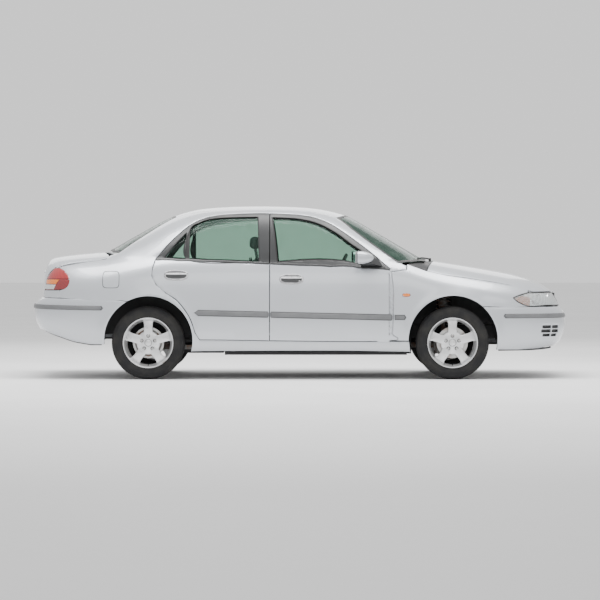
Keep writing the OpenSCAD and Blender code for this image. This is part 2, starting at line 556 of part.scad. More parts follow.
module rear_axle() color("dimgray") both() union() {
  translate([X(-1252), 0, hub_z]) rotate([-90, 0, 0]) cylinder(h=track + 5, r=30, $fn=32);
  translate([X(-1252), Y(560), hub_z]) rotate([-90, 0, 0]) cylinder(h=track + 5.7 - Y(560), r=52, $fn=48);
  box(-1270, -840, 500, 560, 240, 275);
  box(-870, -840, 500, 560, 240, 299.7);
  translate([X(-1252), Y(530), hub_z]) cylinder(h=399.7 - hub_z, r=40, $fn=32);
}
module exhaust() color("gray") union() {
  translate([X(-560), 0, 258]) rotate([0, 90, 0]) cylinder(h=X(1700), r=24, $fn=32);
  translate([X(-500), 0, 258]) rotate([0, 90, 0]) cylinder(h=X(420), r=41.7, $fn=32);
}
module fuel_tank() color("dimgray") union() {
  box(-1050, -640, -440, 440, 205, 299.7);
}
module engine_block() color("dimgray") union() {
  box(1140, 1700, -340, 380, 330, 780);
  box(1160, 1360, -300, 300, 270.3, 335);
  box(1700, 1940, -200, 200, 340, 700);
  box(1930, 2009.7, -330, 330, 300, 700);
}
wheel_c = [330, 365, 866];
module dashboard() color("dimgray") union() {
  translate([0, Y(660), 0]) rotate([90, 0, 0]) linear_extrude(Y(1320)) polygon(S2([[861.7,560],
    [861.7,884],[820,915],[700,932],[600,936],[545,915],[520,870],[540,760],[640,620],[760,560]]));
  box(400, 700, -110, 110, 322.3, 640);
  translate(P(wheel_c[0], wheel_c[1], wheel_c[2])) rotate([0, 114, 0])
    translate([0, 0, 110.3]) cylinder(h=200, r=30, $fn=32);
}
module steering_wheel() color("black") translate(P(wheel_c[0], wheel_c[1], wheel_c[2]))
  rotate([0, 114, 0]) union() {
  rotate_extrude($fn=64) translate([steering_radius - 15, 0]) circle(14, $fn=24);
  translate([0, 0, -14]) cylinder(h=60, r=52, $fn=32);
  for (a = [0, 90, 270]) rotate([0, 0, a + 90]) translate([0, -19, -2]) cube([steering_radius - 15, 38, 18]);
  translate([0, 0, 40]) cylinder(h=70, r=20, $fn=24);
}
module front_seats() color("tan") for (s = [-1, 1]) translate([0, s*Y(seat_offset), 0]) union() {
  translate([0, seat_width/2, 0]) rotate([90, 0, 0]) linear_extrude(seat_width) polygon(S2([[-200,420],
    [360,420],[385,470],[380,540],[340,575],[60,555],[-80,585],[-130,660],[-305,1010],[-350,1030],
    [-420,1015],[-425,980],[-290,640],[-230,470]]));
  translate([0, 130, 0]) rotate([90, 0, 0]) linear_extrude(260) polygon(S2([[-340,1075],[-330,1170],
    [-360,1190],[-420,1180],[-435,1090],[-410,1060],[-360,1060]]));
  for (t = [-70, 70]) translate([X(-385), t, Z(1000)]) cylinder(h=Z(1080)-Z(1000), r=7, $fn=24);
  for (t = [-170, 170]) translate([X(-150), t - 20, 222.3]) cube([X(450), 40, 200]);
}
module rear_seat() color("tan") union() {
  translate([0, Y(560), 0]) rotate([90, 0, 0]) linear_extrude(Y(1120)) polygon(S2([[-480,322.3],
    [-1099.7,322.3],[-1099.7,964],[-1080,985],[-1030,985],[-900,600],[-860,540],[-520,560],[-470,530],
    [-450,470]]));
}
module wipers() color("black") for (w = [[[1105,40,990],[1062,150,998],[1040,260,1004],[1010,400,1010],
  [975,560,1010]], [[1070,540,978],[1060,400,994],[1060,250,998],[1070,80,997]]]) solid() union() {
  for (i = [1:len(w)-1]) hull() {
    translate(P(w[i-1][0], w[i-1][1]*(w[0][1] < 100 ? -1 : 1), w[i-1][2])) sphere(6, $fn=10);
    translate(P(w[i][0], w[i][1]*(w[0][1] < 100 ? -1 : 1), w[i][2])) sphere(6, $fn=10);
  }
  translate(P(w[0][0], w[0][1]*(w[0][1] < 100 ? -1 : 1), w[0][2] - 40)) cylinder(h=40, r=9, $fn=24);
}

floor_pan();
firewall();
arch_liners();
body_side_left();
body_side_right();
fender_left();
fender_right();
roof();
hood();
trunk_lid();
fuel_flap();
front_bumper();
rear_bumper();
grille();
headlights();
tail_lights();
cowl();
windshield();
rear_window();
front_door_left();
front_door_right();
rear_door_left();
rear_door_right();
front_glass_left();
front_glass_right();
rear_glass_left();
rear_glass_right();
front_trim_left();
front_trim_right();
rear_trim_left();
rear_trim_right();
mirror_left();
mirror_right();
fender_trim();
dashboard();
steering_wheel();
front_seats();
rear_seat();
parcel_shelf();
wipers();
engine_block();
front_suspension();
knuckle_left();
knuckle_right();
rear_axle();
exhaust();
fuel_tank();
tyre_front_left();
tyre_front_right();
tyre_rear_left();
tyre_rear_right();
rim_front_left();
rim_front_right();
rim_rear_left();
rim_rear_right();
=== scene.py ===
"""Looks of a four-door sedan: every visible piece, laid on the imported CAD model's frame.

Lengths in the shape tables are millimetres in the car's frame (+X forward, +Y left, +Z up);
every finished mesh is in metres.
"""
import logging
import math
from dataclasses import dataclass, field
from enum import Enum
from typing import Any, Callable, Iterable, Sequence

import bmesh
import bpy
import numpy as np
from mathutils import Matrix, Vector
from mathutils.geometry import delaunay_2d_cdt


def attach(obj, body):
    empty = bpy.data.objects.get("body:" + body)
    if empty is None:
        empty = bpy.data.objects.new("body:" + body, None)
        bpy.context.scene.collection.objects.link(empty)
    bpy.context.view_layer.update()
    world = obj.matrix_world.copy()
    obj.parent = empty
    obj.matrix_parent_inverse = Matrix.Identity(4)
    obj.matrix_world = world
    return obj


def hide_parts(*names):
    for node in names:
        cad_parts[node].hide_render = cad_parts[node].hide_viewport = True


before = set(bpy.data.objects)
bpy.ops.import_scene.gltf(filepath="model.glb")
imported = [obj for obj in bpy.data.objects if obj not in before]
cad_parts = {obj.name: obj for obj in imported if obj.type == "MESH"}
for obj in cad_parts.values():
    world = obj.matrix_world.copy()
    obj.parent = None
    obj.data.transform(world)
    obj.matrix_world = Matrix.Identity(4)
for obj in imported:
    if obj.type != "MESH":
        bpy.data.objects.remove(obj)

LOG = logging.getLogger("sedan")
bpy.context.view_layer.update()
Points = np.ndarray
GAP = 6.0


class Side(Enum):
    """Side of the car a piece is on, as the sign of its Y."""
    LEFT = 1
    RIGHT = -1

    @property
    def word(self) -> str:
        """The side's word as the CAD names use it."""
        return "left" if self is Side.LEFT else "right"


# ---------------------------------------------------------------- the body's shape

FLANK = [[180,790],[240,815],[330,836],[450,847],[600,850],[720,846],[820,835],[900,817],[980,792],
         [1060,760]]
NOSE = [[180,2000],[240,2110],[300,2182],[360,2214],[430,2228],[500,2228],[545,2218],[580,2196],
        [620,2172],[680,2158],[760,2150],[900,2140]]
TAIL = [[240,1980],[300,2060],[360,2130],[420,2185],[480,2214],[550,2225],[610,2222],[645,2200],
        [680,2163],[740,2152],[850,2146],[930,2136],[1010,2126]]
DECK = [[-2150,930],[-2110,985],[-2060,1007],[-1900,1030],[-1650,1052],[-1400,1062],[-600,1060],
        [400,1045],[850,1018],[1130,978],[1400,936],[1640,896],[1800,864],[1950,820],[2050,776],
        [2110,735],[2150,700]]
SHOULDER = [[-2200,4],[-1700,3.6],[-1350,5.5],[-1000,9],[600,9],[850,7],[1000,5],[1150,4],
            [1400,3.4],[1700,3],[2200,2.6]]
CROWN = [[-1770,880],[-1700,985],[-1610,1062],[-1535,1107],[-1433,1166],[-1331,1223],[-1228,1279],
         [-1126,1330],[-1023,1370],[-921,1399],[-819,1418],[-614,1434],[-400,1440],[-200,1439],
         [0,1432],[102,1423],[205,1408],[307,1385],[409,1352],[512,1297],[614,1238],[716,1179],
         [819,1119],[921,1060],[1023,1001],[1120,945],[1250,880]]
LEAN = [[860,806],[900,800],[960,786],[1100,740],[1200,698],[1300,650],[1400,600],[1450,572]]
TAPER = [[-1700,0.87],[-1200,0.955],[-700,0.99],[-200,1],[400,0.99],[760,0.967],[860,0.945],
         [960,0.89],[1060,0.8],[1160,0.7]]
EDGE_M = [[-1650,2.4],[-1300,2.7],[-1000,4.8],[-700,10],[-300,14],[0,14],[200,9],[400,4.8],
          [600,3],[800,2.4],[1100,2.2]]
EDGE_P = [[-1650,2.3],[-1000,2.5],[400,2.4],[1100,2.2]]


def curve(table: Sequence[Sequence[float]], at: Any) -> Points:
    """Reads a smooth curve through [position, value] pairs.

    Args:
        table: The pairs, by rising position.
        at: Positions to read at.

    Returns:
        The values, flat beyond both ends.
    """
    t = np.asarray(table, float)
    at = np.asarray(at, float)
    i = np.clip(np.searchsorted(t[:, 0], at, side="right") - 1, 0, len(t) - 2)
    lo = np.maximum(np.arange(len(t)) - 1, 0)
    hi = np.minimum(np.arange(len(t)) + 1, len(t) - 1)
    slope = (t[hi, 1] - t[lo, 1])/(t[hi, 0] - t[lo, 0])
    h = t[i + 1, 0] - t[i, 0]
    s = np.clip((at - t[i, 0])/h, 0, 1)
    a, b = s*s, s*s*s
    return ((2*b - 3*a + 1)*t[i, 1] + (b - 2*a + s)*slope[i]*h + (3*a - 2*b)*t[i + 1, 1]
            + (b - a)*slope[i + 1]*h)


def plan_share(x: Any, z: Any) -> Points:
    """Share of the full width left at x by the rounding of nose and tail."""
    x = np.asarray(x, float)
    n = np.where(x > 0, 5.0, 6.5)
    reach = np.where(x > 0, curve(NOSE, z), curve(TAIL, z))
    return (1 - np.minimum(np.abs(x)/reach, 1)**n)**(1/n)


def lower_width(x: Any, z: Any) -> Points:
    """Half width of the lower body, with the lips around the wheel arches."""
    x, z = np.asarray(x, float), np.asarray(z, float)
    share = plan_share(x, z)
    m = curve(SHOULDER, x)
    t = np.clip((z - 560)/(curve(DECK, x) - 560), 0, 1)
    lips = sum(12*np.exp(-(np.maximum(np.hypot(x - c, z - 323) - 366, 0)/45)**2)
               for c in (1263, -1250))
    return (curve(FLANK, z) + share*lips)*share*(1 - t**m)**(1/m)


def upper_width(x: Any, z: Any) -> Points:
    """Half width of the greenhouse."""
    x, z = np.asarray(x, float), np.asarray(z, float)
    t = (z - 880)/np.maximum(curve(CROWN, x) - 880, 1)
    w = curve(LEAN, z)*curve(TAPER, x)*(1 - np.clip(t, 0, 1)**curve(EDGE_M, x))**(1/curve(EDGE_P, x))
    return np.where((t >= 1) | (z < 880), 0, w)


def body_width(x: Any, z: Any) -> Points:
    """Half width of the whole body at x and height z."""
    a, b = lower_width(x, z), upper_width(x, z)
    return np.maximum(a, b) + np.maximum(14 - np.abs(a - b), 0)**2/56


def peak(x: Any) -> Points:
    """Height of the body's middle line."""
    return np.maximum(curve(DECK, x), curve(CROWN, x))


class Chart:
    """Flat map of one region of the body's surface; subclasses give the two directions."""

    def point(self, u: Points, v: Points) -> Points:
        """Points of the surface, as rows of x, y, z."""
        raise NotImplementedError

    def normal(self, u: Points, v: Points) -> Points:
        """Outward unit normals of the surface."""
        e = 0.6
        a = self.point(u + e, v) - self.point(u - e, v)
        b = self.point(u, v + e) - self.point(u, v - e)
        n = np.cross(a, b)
        n /= np.maximum(np.linalg.norm(n, axis=1, keepdims=True), 1e-9)
        ref = self.point(u, v) - np.array([0, 0, 500.0])
        ref[:, 0] = 0 if self.level else ref[:, 0]
        return n*np.sign((n*ref).sum(axis=1, keepdims=True) + 1e-9)

    level = True


class SideChart(Chart):
    """Side and roof: u is x, v runs from the sill over the roof to the other sill."""
    LOW = 190.0
    SPAN = 1700.0

    def point(self, u: Points, v: Points) -> Points:
        """Points of the surface; past the middle line they are on the right side."""
        far = v > self.SPAN
        w = np.clip(np.where(far, 2*self.SPAN - v, v)/self.SPAN, 0, 1)
        z = self.LOW + (peak(u) - self.LOW)*np.sin(np.pi/2*w)**0.6
        y = np.where(w > 0.9999, 0, body_width(u, np.minimum(z, peak(u) - 1e-4)))
        return np.stack([u, np.where(far, -y, y), z], axis=1)

    def place(self, x: float, z: float) -> tuple[float, float]:
        """Chart place of a point seen from the side at x, z."""
        share = min(max((z - self.LOW)/(float(peak(x)) - self.LOW), 0), 1)
        return x, self.SPAN*2/math.pi*math.asin(share**(1/0.6))


class RayChart(Chart):
    """Hood or trunk lid: u is the side distance, v the angle about an inner axis."""
    level = False

    def __init__(self, cx: float, cz: float, sign: int) -> None:
        self.cx, self.cz, self.sign = cx, cz, sign

    def point(self, u: Points, v: Points) -> Points:
        """Points where rays from the axis meet the lower body."""
        ang = v/700.0
        dx, dz = np.cos(ang)*self.sign, np.sin(ang)
        lo, hi = np.zeros_like(u), np.full_like(u, 1300.0)
        for _ in range(26):
            m = (lo + hi)/2
            x, z = self.cx + m*dx, self.cz + m*dz
            ok = (z < curve(DECK, x)) & (np.abs(x) < 2228) & (lower_width(x, z) > np.abs(u))
            lo, hi = np.where(ok, m, lo), np.where(ok, hi, m)
        return np.stack([self.cx + lo*dx, u, self.cz + lo*dz], axis=1)

    def place(self, x: float, y: float, z: float) -> tuple[float, float]:
        """Chart place of a point near the surface."""
        return y, 700.0*math.atan2(z - self.cz, (x - self.cx)*self.sign)

    def on_top(self, x: float, y: float) -> tuple[float, float]:
        """Chart place of the surface point above x, y."""
        lo, hi = 560.0, float(curve(DECK, x))
        for _ in range(30):
            m = (lo + hi)/2
            lo, hi = (m, hi) if float(lower_width(x, m)) > abs(y) else (lo, m)
        return self.place(x, y, lo)

    def at_height(self, y: float, z: float) -> tuple[float, float]:
        """Chart place of the end surface's point at y and height z."""
        lo, hi = 1500.0, 2226.0
        for _ in range(30):
            m = (lo + hi)/2
            lo, hi = (m, hi) if float(lower_width(m*self.sign, z)) > abs(y) else (lo, m)
        return self.place(lo*self.sign, y, z)


class EndChart(Chart):
    """Nose or tail: u sweeps round the plan from the left side to the right, v is height."""
    level = False
    TURN = 1500.0

    def __init__(self, sign: int) -> None:
        self.sign = sign

    def _x(self, u: Points, z: Points) -> Points:
        n = 5 if self.sign > 0 else 6.5
        f = np.clip(np.minimum(u, 2*self.TURN - u)/self.TURN, 0, 1)*np.pi/2
        return self.sign*curve(NOSE if self.sign > 0 else TAIL, z)*np.sin(f)**(2/n)

    def point(self, u: Points, v: Points) -> Points:
        """Points round the end of the car."""
        x = self._x(u, v)
        y = np.where(np.abs(u - self.TURN) < 0.01, 0, lower_width(x*0.999999, v))
        return np.stack([x, np.where(u > self.TURN, -y, y), v], axis=1)

    def place(self, x: float, z: float, right: bool = False) -> tuple[float, float]:
        """Chart place of a point seen from the side at x, z."""
        n = 5 if self.sign > 0 else 6.5
        a = float(curve(NOSE if self.sign > 0 else TAIL, z))
        u = self.TURN*2/math.pi*math.asin(min(abs(x)/a, 1)**(n/2))
        return (2*self.TURN - u if right else u), z

    def across(self, y: float, z: float) -> tuple[float, float]:
        """Chart place of a point at side distance y and height z."""
        lo, hi = 0.0, self.TURN
        for _ in range(30):
            m = (lo + hi)/2
            w = float(self.point(np.array([m]), np.array([z]))[0, 1])
            lo, hi = (m, hi) if w > abs(y) else (lo, m)
        return (lo if y > 0 else 2*self.TURN - lo), z


SIDE = SideChart()
HOOD = RayChart(1000, 300, 1)
TRUNK = RayChart(-1560, 640, -1)
FRONT = EndChart(1)
REAR = EndChart(-1)


def resample(line: Sequence[Sequence[float]], step: float, closed: bool = True) -> list[Points]:
    """Cuts a polyline's runs into pieces no longer than a step, keeping its corners.

    Args:
        line: The corner points.
        step: Longest piece.
        closed: Whether the last point joins the first.

    Returns:
        The points of the finer line.
    """
    pts = [np.asarray(p, float) for p in line]
    out: list[Points] = []
    for i, p in enumerate(pts):
        if not closed and i == len(pts) - 1:
            out.append(p)
            break
        q = pts[(i + 1) % len(pts)]
        n = max(1, math.ceil(float(np.linalg.norm(q - p))/step))
        out += [p + (q - p)*k/n for k in range(n)]
    return out


def smooth_line(line: Sequence[Sequence[float]], step: float = 12.0, closed: bool = False) -> list[Points]:
    """Rounds a polyline with a Catmull-Rom curve through its points."""
    p = [np.asarray(q, float) for q in line]
    n = len(p)
    out: list[Points] = []
    for i in range(n if closed else n - 1):
        a, b, c, d = (p[(i + k) % n] if closed else p[min(max(i + k, 0), n - 1)] for k in (-1, 0, 1, 2))
        m = max(1, int(np.linalg.norm(c - b)/step))
        for k in range(m):
            t = k/m
            out.append(0.5*(2*b + (c - a)*t + (2*a - 5*b + 4*c - d)*t*t + (3*b - a - 3*c + d)*t**3))
    return out if closed else out + [p[-1]]


def new_object(name: str, verts: Any, faces: Iterable[Sequence[int]], smooth: bool = True,
               mirror: bool = False) -> bpy.types.Object:
    """Makes a mesh object from millimetre points.

    Args:
        name: Object and mesh name.
        verts: Points in millimetres.
        faces: Corner lists, anticlockwise seen from outside.
        smooth: Whether the faces are shaded smooth.
        mirror: Whether the piece is turned over to the right side.

    Returns:
        The object, linked into the scene.
    """
    v = np.asarray(verts, float)/1000
    faces = [tuple(f) for f in faces]
    if mirror:
        v = v*np.array([1, -1, 1])
        faces = [f[::-1] for f in faces]
    mesh = bpy.data.meshes.new(name)
    mesh.from_pydata(v.tolist(), [], faces)
    mesh.validate()
    mesh.polygons.foreach_set("use_smooth", [smooth]*len(mesh.polygons))
    obj = bpy.data.objects.new(name, mesh)
    bpy.context.scene.collection.objects.link(obj)
    return obj


def holds(loops: Sequence[Sequence[Points]], at: Points) -> Points:
    """Which points lie inside an outline and outside its holes."""
    inside = np.zeros(len(at), bool)
    for loop in loops:
        e = np.array(loop)
        for a, b in zip(e, np.roll(e, -1, axis=0)):
            if abs(b[1] - a[1]) > 1e-9:
                hit = (a[1] > at[:, 1]) != (b[1] > at[:, 1])
                inside ^= hit & (at[:, 0] < a[0] + (at[:, 1] - a[1])*(b[0] - a[0])/(b[1] - a[1]))
    return inside


def triangulate(loops: Sequence[Sequence[Points]], step: tuple[float, float],
                clear: float) -> tuple[Points, list[tuple[int, ...]]]:
    """Fills an outline with holes with even triangles.

    Args:
        loops: The outline, then its holes, as lists of 2-D points.
        step: Spacing of the inner points along both directions.
        clear: Distance kept free of inner points along the loops.

    Returns:
        The points, those of the loops first and in their order, and the triangles.
    """
    cons, k = [], 0
    for loop in loops:
        n = len(loop)
        cons += [(k + i, k + (i + 1) % n) for i in range(n)]
        k += n
    e = np.array([p for loop in loops for p in loop])
    gx = np.arange(e[:, 0].min() + step[0]/2, e[:, 0].max(), step[0])
    gy = np.arange(e[:, 1].min() + step[1]/2, e[:, 1].max(), step[1])
    pts = e
    if len(gx) and len(gy):
        grid = np.array([(x + (j % 2)*step[0]/2, y) for j, y in enumerate(gy) for x in gx])
        near = np.zeros(len(grid), bool)
        for i, j in cons:
            a, d = e[i], e[j] - e[i]
            t = np.clip(((grid - a) @ d)/max(d @ d, 1e-9), 0, 1)
            near |= np.hypot(*(grid - a - t[:, None]*d).T) < clear
        pts = np.vstack([e, grid[holds(loops, grid) & ~near]])
    out, _, faces, origin, _, _ = delaunay_2d_cdt([Vector(p) for p in pts], cons, [], 0, 1e-6)
    back = [o[0] if len(o) else 0 for o in origin]
    tris = [tuple(back[i] for i in f) for f in faces]
    corner = pts[np.array(tris)]
    ab, ac = corner[:, 1] - corner[:, 0], corner[:, 2] - corner[:, 0]
    keep = holds(loops, corner.mean(axis=1)) & (np.abs(ab[:, 0]*ac[:, 1] - ab[:, 1]*ac[:, 0]) > 1e-3)
    return pts, [t for t, ok in zip(tris, keep) if ok]


@dataclass
class Panel:
    """Pressed panel: outer skin of a chart, rolled edges, flange and inner skin, one closed shell."""
    chart: Chart
    loops: Sequence[Sequence[Sequence[float]]]
    gap: float = GAP/2
    depth: float = 16.0
    roll: float = 2.0
    lift: float = 0.0
    step: tuple[float, float] = (26.0, 26.0)
    edge: float = 14.0
    shape: Callable[[Points, Points], Points] | None = None

    def build(self, name: str, mirror: bool = False) -> bpy.types.Object:
        """Builds the shell.

        Args:
            name: Object name.
            mirror: Whether to make the right side's panel from the left side's outline.

        Returns:
            The closed mesh object.
        """
        loops = [resample(loop, self.edge) for loop in self.loops]
        pts, tris = triangulate(loops, self.step, min(self.step)*0.42)
        u, v = pts[:, 0], pts[:, 1]
        nrm = self.chart.normal(u, v)
        pos = self.chart.point(u, v) + nrm*self.lift
        if self.shape is not None:
            pos = pos + nrm*self.shape(pos, nrm)[:, None]
        t = np.array(tris[:40])
        turn = np.cross(pos[t[:, 1]] - pos[t[:, 0]], pos[t[:, 2]] - pos[t[:, 0]])
        if (turn*nrm[t[:, 0]]).sum() < 0:
            tris = [f[::-1] for f in tris]
        n = len(pos)
        inward = np.zeros_like(pos)
        rims, k = [], 0
        for which, loop in enumerate(loops):
            idx = np.arange(k, k + len(loop))
            k += len(loop)
            a, b = np.roll(idx, 1), np.roll(idx, -1)
            flat = pts[b] - pts[a]
            area = float((pts[idx, 0]*pts[b, 1] - pts[b, 0]*pts[idx, 1]).sum())
            left = np.stack([-flat[:, 1], flat[:, 0]], axis=1)
            left /= np.maximum(np.linalg.norm(left, axis=1, keepdims=True), 1e-9)
            if (area > 0) != (which == 0):
                left = -left
            d = self.chart.point(*(pts[idx] + left*1.5).T) - self.chart.point(*pts[idx].T)
            along = pos[b] - pos[a]
            along /= np.maximum(np.linalg.norm(along, axis=1, keepdims=True), 1e-9)
            d -= along*(d*along).sum(axis=1, keepdims=True)
            inward[idx] = d/np.maximum(np.linalg.norm(d, axis=1, keepdims=True), 1e-9)
            rims.append((idx, area > 0))
        r, g = self.roll, self.gap
        outer = pos + inward*(g + r)
        ring = [pos + inward*(g + 0.3*r) - nrm*0.35*r, pos + inward*g - nrm*1.1*r,
                pos + inward*g - nrm*(self.depth - 0.2)]
        inner = pos + inward*(g + 0.2) - nrm*self.depth
        m = k
        verts = np.vstack([outer] + [q[:m] for q in ring] + [inner])
        off = [0, n, n + m, n + 2*m, n + 3*m]
        faces = list(tris) + [tuple(off[4] + i for i in f[::-1]) for f in tris]
        edges = {(f[i], f[(i + 1) % 3]) for f in tris for i in range(3)}
        for idx, _ in rims:
            for i, j in zip(idx, np.roll(idx, -1)):
                i, j = (int(i), int(j)) if (int(i), int(j)) in edges else (int(j), int(i))
                for p, q in zip(off, off[1:]):
                    faces.append((p + j, p + i, q + i, q + j))
        obj = new_object(name, verts, faces, mirror=mirror)
        flip = np.array([1, -1 if mirror else 1, 1])
        custom = np.zeros((len(verts), 3))
        custom[:n] = nrm
        custom[off[4]:] = -nrm
        if self.shape is None:
            obj.data.normals_split_custom_set_from_vertices((custom*flip).tolist())
        return obj


# ---------------------------------------------------------------- shader building

Value = Any


class Sock:
    """One value in a node tree; arithmetic on it adds Math nodes."""

    def __init__(self, tree: "Tree", out: bpy.types.NodeSocket) -> None:
        self.tree, self.out = tree, out

    def _do(self, op: str, a: Value, b: Value = None) -> "Sock":
        given = {0: a} if b is None else {0: a, 1: b}
        return self.tree.node("ShaderNodeMath", {"operation": op}, given)

    def __add__(self, o: Value) -> "Sock":
        return self._do("ADD", self, o)

    def __sub__(self, o: Value) -> "Sock":
        return self._do("SUBTRACT", self, o)

    def __rsub__(self, o: Value) -> "Sock":
        return self._do("SUBTRACT", o, self)

    def __mul__(self, o: Value) -> "Sock":
        return self._do("MULTIPLY", self, o)

    def __truediv__(self, o: Value) -> "Sock":
        return self._do("DIVIDE", self, o)

    def __gt__(self, o: Value) -> "Sock":
        return self._do("GREATER_THAN", self, o)

    def __lt__(self, o: Value) -> "Sock":
        return self._do("LESS_THAN", self, o)

    __radd__ = __add__
    __rmul__ = __mul__

    def sin(self) -> "Sock":
        """Sine of the value."""
        return self._do("SINE", self)

    def abs(self) -> "Sock":
        """Value without its sign."""
        return self._do("ABSOLUTE", self)

    def ramp(self, lo: float, hi: float, a: float = 0.0, b: float = 1.0) -> "Sock":
        """Maps lo..hi smoothly to a..b, held outside."""
        return self.tree.node("ShaderNodeMapRange", {"interpolation_type": "SMOOTHSTEP"},
                              {"Value": self, "From Min": lo, "From Max": hi, "To Min": a, "To Max": b})


class Tree:
    """Node tree of one material, with one maker for all its nodes."""

    def __init__(self, name: str) -> None:
        self.mat = bpy.data.materials.new(name)
        self.mat.use_nodes = True
        self.nodes, self.links = self.mat.node_tree.nodes, self.mat.node_tree.links
        self.nodes.clear()
        self.bsdf = self.nodes.new("ShaderNodeBsdfPrincipled")
        self.end = self.nodes.new("ShaderNodeOutputMaterial")
        self.links.new(self.bsdf.outputs[0], self.end.inputs["Surface"])
        self.place = self.node("ShaderNodeTexCoord", out="Object")

    def node(self, kind: str, settings: dict[str, Any] | None = None,
             given: dict[Any, Value] | None = None, out: Any = 0) -> Sock:
        """Makes a node.

        Args:
            kind: Node type.
            settings: Node properties, set first; "stops" holds a ramp's (place, colour) pairs.
            given: Values or links by socket name or number.
            out: Output to hand back.

        Returns:
            The wrapped output.
        """
        n = self.nodes.new(kind)
        for key, val in (settings or {}).items():
            if key == "stops":
                el = n.color_ramp.elements
                while len(el) < len(val):
                    el.new(1.0)
                for e, (p, c) in zip(el, val):
                    e.position, e.color = p, (*c, 1.0)
            else:
                setattr(n, key, val)
        self.feed(n, given or {})
        return Sock(self, n.outputs[out])

    def feed(self, n: bpy.types.Node, given: dict[Any, Value]) -> None:
        """Sets or links a node's sockets."""
        for key, val in given.items():
            s = n.inputs[key]
            if isinstance(val, Sock):
                self.links.new(val.out, s)
            elif isinstance(val, tuple) and len(val) == 3 and s.type == "RGBA":
                s.default_value = (*val, 1.0)
            else:
                s.default_value = val

    def noise(self, scale: float, detail: float = 2.0, at: Sock | None = None) -> Sock:
        """Noise value on the piece's own place."""
        return self.node("ShaderNodeTexNoise", None,
                         {"Vector": at or self.place, "Scale": scale, "Detail": detail}, "Fac")

    def stretch(self, x: float, y: float, z: float) -> Sock:
        """The piece's place with its axes scaled."""
        return self.node("ShaderNodeMapping", None, {"Vector": self.place, "Scale": (x, y, z)})

    def axis(self, i: int) -> Sock:
        """One coordinate of the place, in metres."""
        return self.node("ShaderNodeSeparateXYZ", None, {0: self.place}, i)

    def mix(self, t: Value, a: Value, b: Value) -> Sock:
        """Blend of two colours."""
        return self.node("ShaderNodeMix", {"data_type": "RGBA"}, {0: t, 6: a, 7: b}, 2)

    def bump(self, height: Value, dist: float, strength: float = 1.0) -> None:
        """Feeds a height into the shader's normal."""
        self.feed(self.bsdf, {"Normal": self.node("ShaderNodeBump", None, {
            "Height": height, "Distance": dist, "Strength": strength})})

    def set(self, **values: Value) -> None:
        """Sets the shader's sockets; underscores stand for spaces."""
        self.feed(self.bsdf, {k.replace("_", " "): v for k, v in values.items()})


MADE: dict[str, bpy.types.Material] = {}


@dataclass(frozen=True)
class Finish:
    """A surface finish; subclasses build its nodes once."""
    name: str

    def dress(self, tree: Tree) -> None:
        """Builds the finish's nodes."""
        raise NotImplementedError

    def material(self) -> bpy.types.Material:
        """The finish's material, made on first use."""
        if self.name not in MADE:
            tree = Tree(self.name + "_finish")
            self.dress(tree)
            MADE[self.name] = tree.mat
        return MADE[self.name]


Rgb = tuple[float, float, float]


@dataclass(frozen=True)
class Paint(Finish):
    """Metallic lacquer: fine flake under a clear coat, a little road dust low down."""
    colour: Rgb = (0.50, 0.52, 0.55)

    def dress(self, tree: Tree) -> None:
        """Flake and dust in the colour, orange peel in the coat."""
        flake = tree.noise(2600, 1)
        soft = tree.noise(3.0, 3)
        c = self.colour
        low = tuple(v*0.90 for v in c)
        base = tree.mix(flake.ramp(0.38, 0.62), tuple(v*0.955 for v in c), tuple(min(v*1.045, 1) for v in c))
        dust = (tree.axis(2) + soft*0.12).ramp(0.42, 0.20, 0.0, 0.42)
        base = tree.mix(dust, base, tuple(a*b for a, b in zip(low, (0.86, 0.83, 0.78))))
        tree.set(Base_Color=base, Metallic=0.52, Roughness=soft.ramp(0.2, 0.8, 0.30, 0.36) + dust*0.22,
                 Coat_Weight=1 - dust*0.5, Coat_Roughness=0.045, Coat_IOR=1.5)
        tree.bump(tree.noise(420, 2), 0.00012, 0.25)


@dataclass(frozen=True)
class Plastic(Finish):
    """Moulded plastic or rubber with a fine grain."""
    colour: Rgb = (0.03, 0.03, 0.032)
    rough: float = 0.5
    grain: float = 900.0
    depth: float = 0.0002
    sheen: float = 0.0
    metal: float = 0.0

    def dress(self, tree: Tree) -> None:
        """Grain, faint blotches and dust lying on upward faces."""
        blot = tree.noise(7, 4)
        up = tree.node("ShaderNodeSeparateXYZ", None,
                       {0: tree.node("ShaderNodeNewGeometry", out="Normal")}, 2)
        dust = up.ramp(0.4, 1.0, 0.0, 0.12)*blot.ramp(0.35, 0.7)
        c = self.colour
        base = tree.mix(blot.ramp(0.3, 0.7), tuple(v*0.88 for v in c), tuple(min(v*1.12, 1) for v in c))
        base = tree.mix(dust, base, (0.32, 0.30, 0.27))
        fine = tree.noise(self.grain, 2)
        tree.set(Base_Color=base, Metallic=self.metal,
                 Roughness=fine.ramp(0.3, 0.7, self.rough - 0.06, self.rough + 0.06),
                 Sheen_Weight=self.sheen)
        tree.bump(fine, self.depth, 0.5)


@dataclass(frozen=True)
class Alloy(Finish):
    """Cast and lacquered wheel alloy with patches of brake dust."""
    colour: Rgb = (0.66, 0.665, 0.67)

    def dress(self, tree: Tree) -> None:
        """Sparkle, dust and soft casting waves."""
        fine = tree.noise(1500, 2)
        blot = tree.noise(22, 4)
        c = self.colour
        base = tree.mix(fine.ramp(0.35, 0.65), tuple(v*0.93 for v in c), c)
        base = tree.mix(blot.ramp(0.5, 0.85, 0.0, 0.3), base, (0.33, 0.31, 0.29))
        tree.set(Base_Color=base, Metallic=0.85, Roughness=blot.ramp(0.3, 0.8, 0.27, 0.42),
                 Coat_Weight=0.5, Coat_Roughness=0.12)
        tree.bump(tree.noise(160, 3), 0.0002, 0.3)


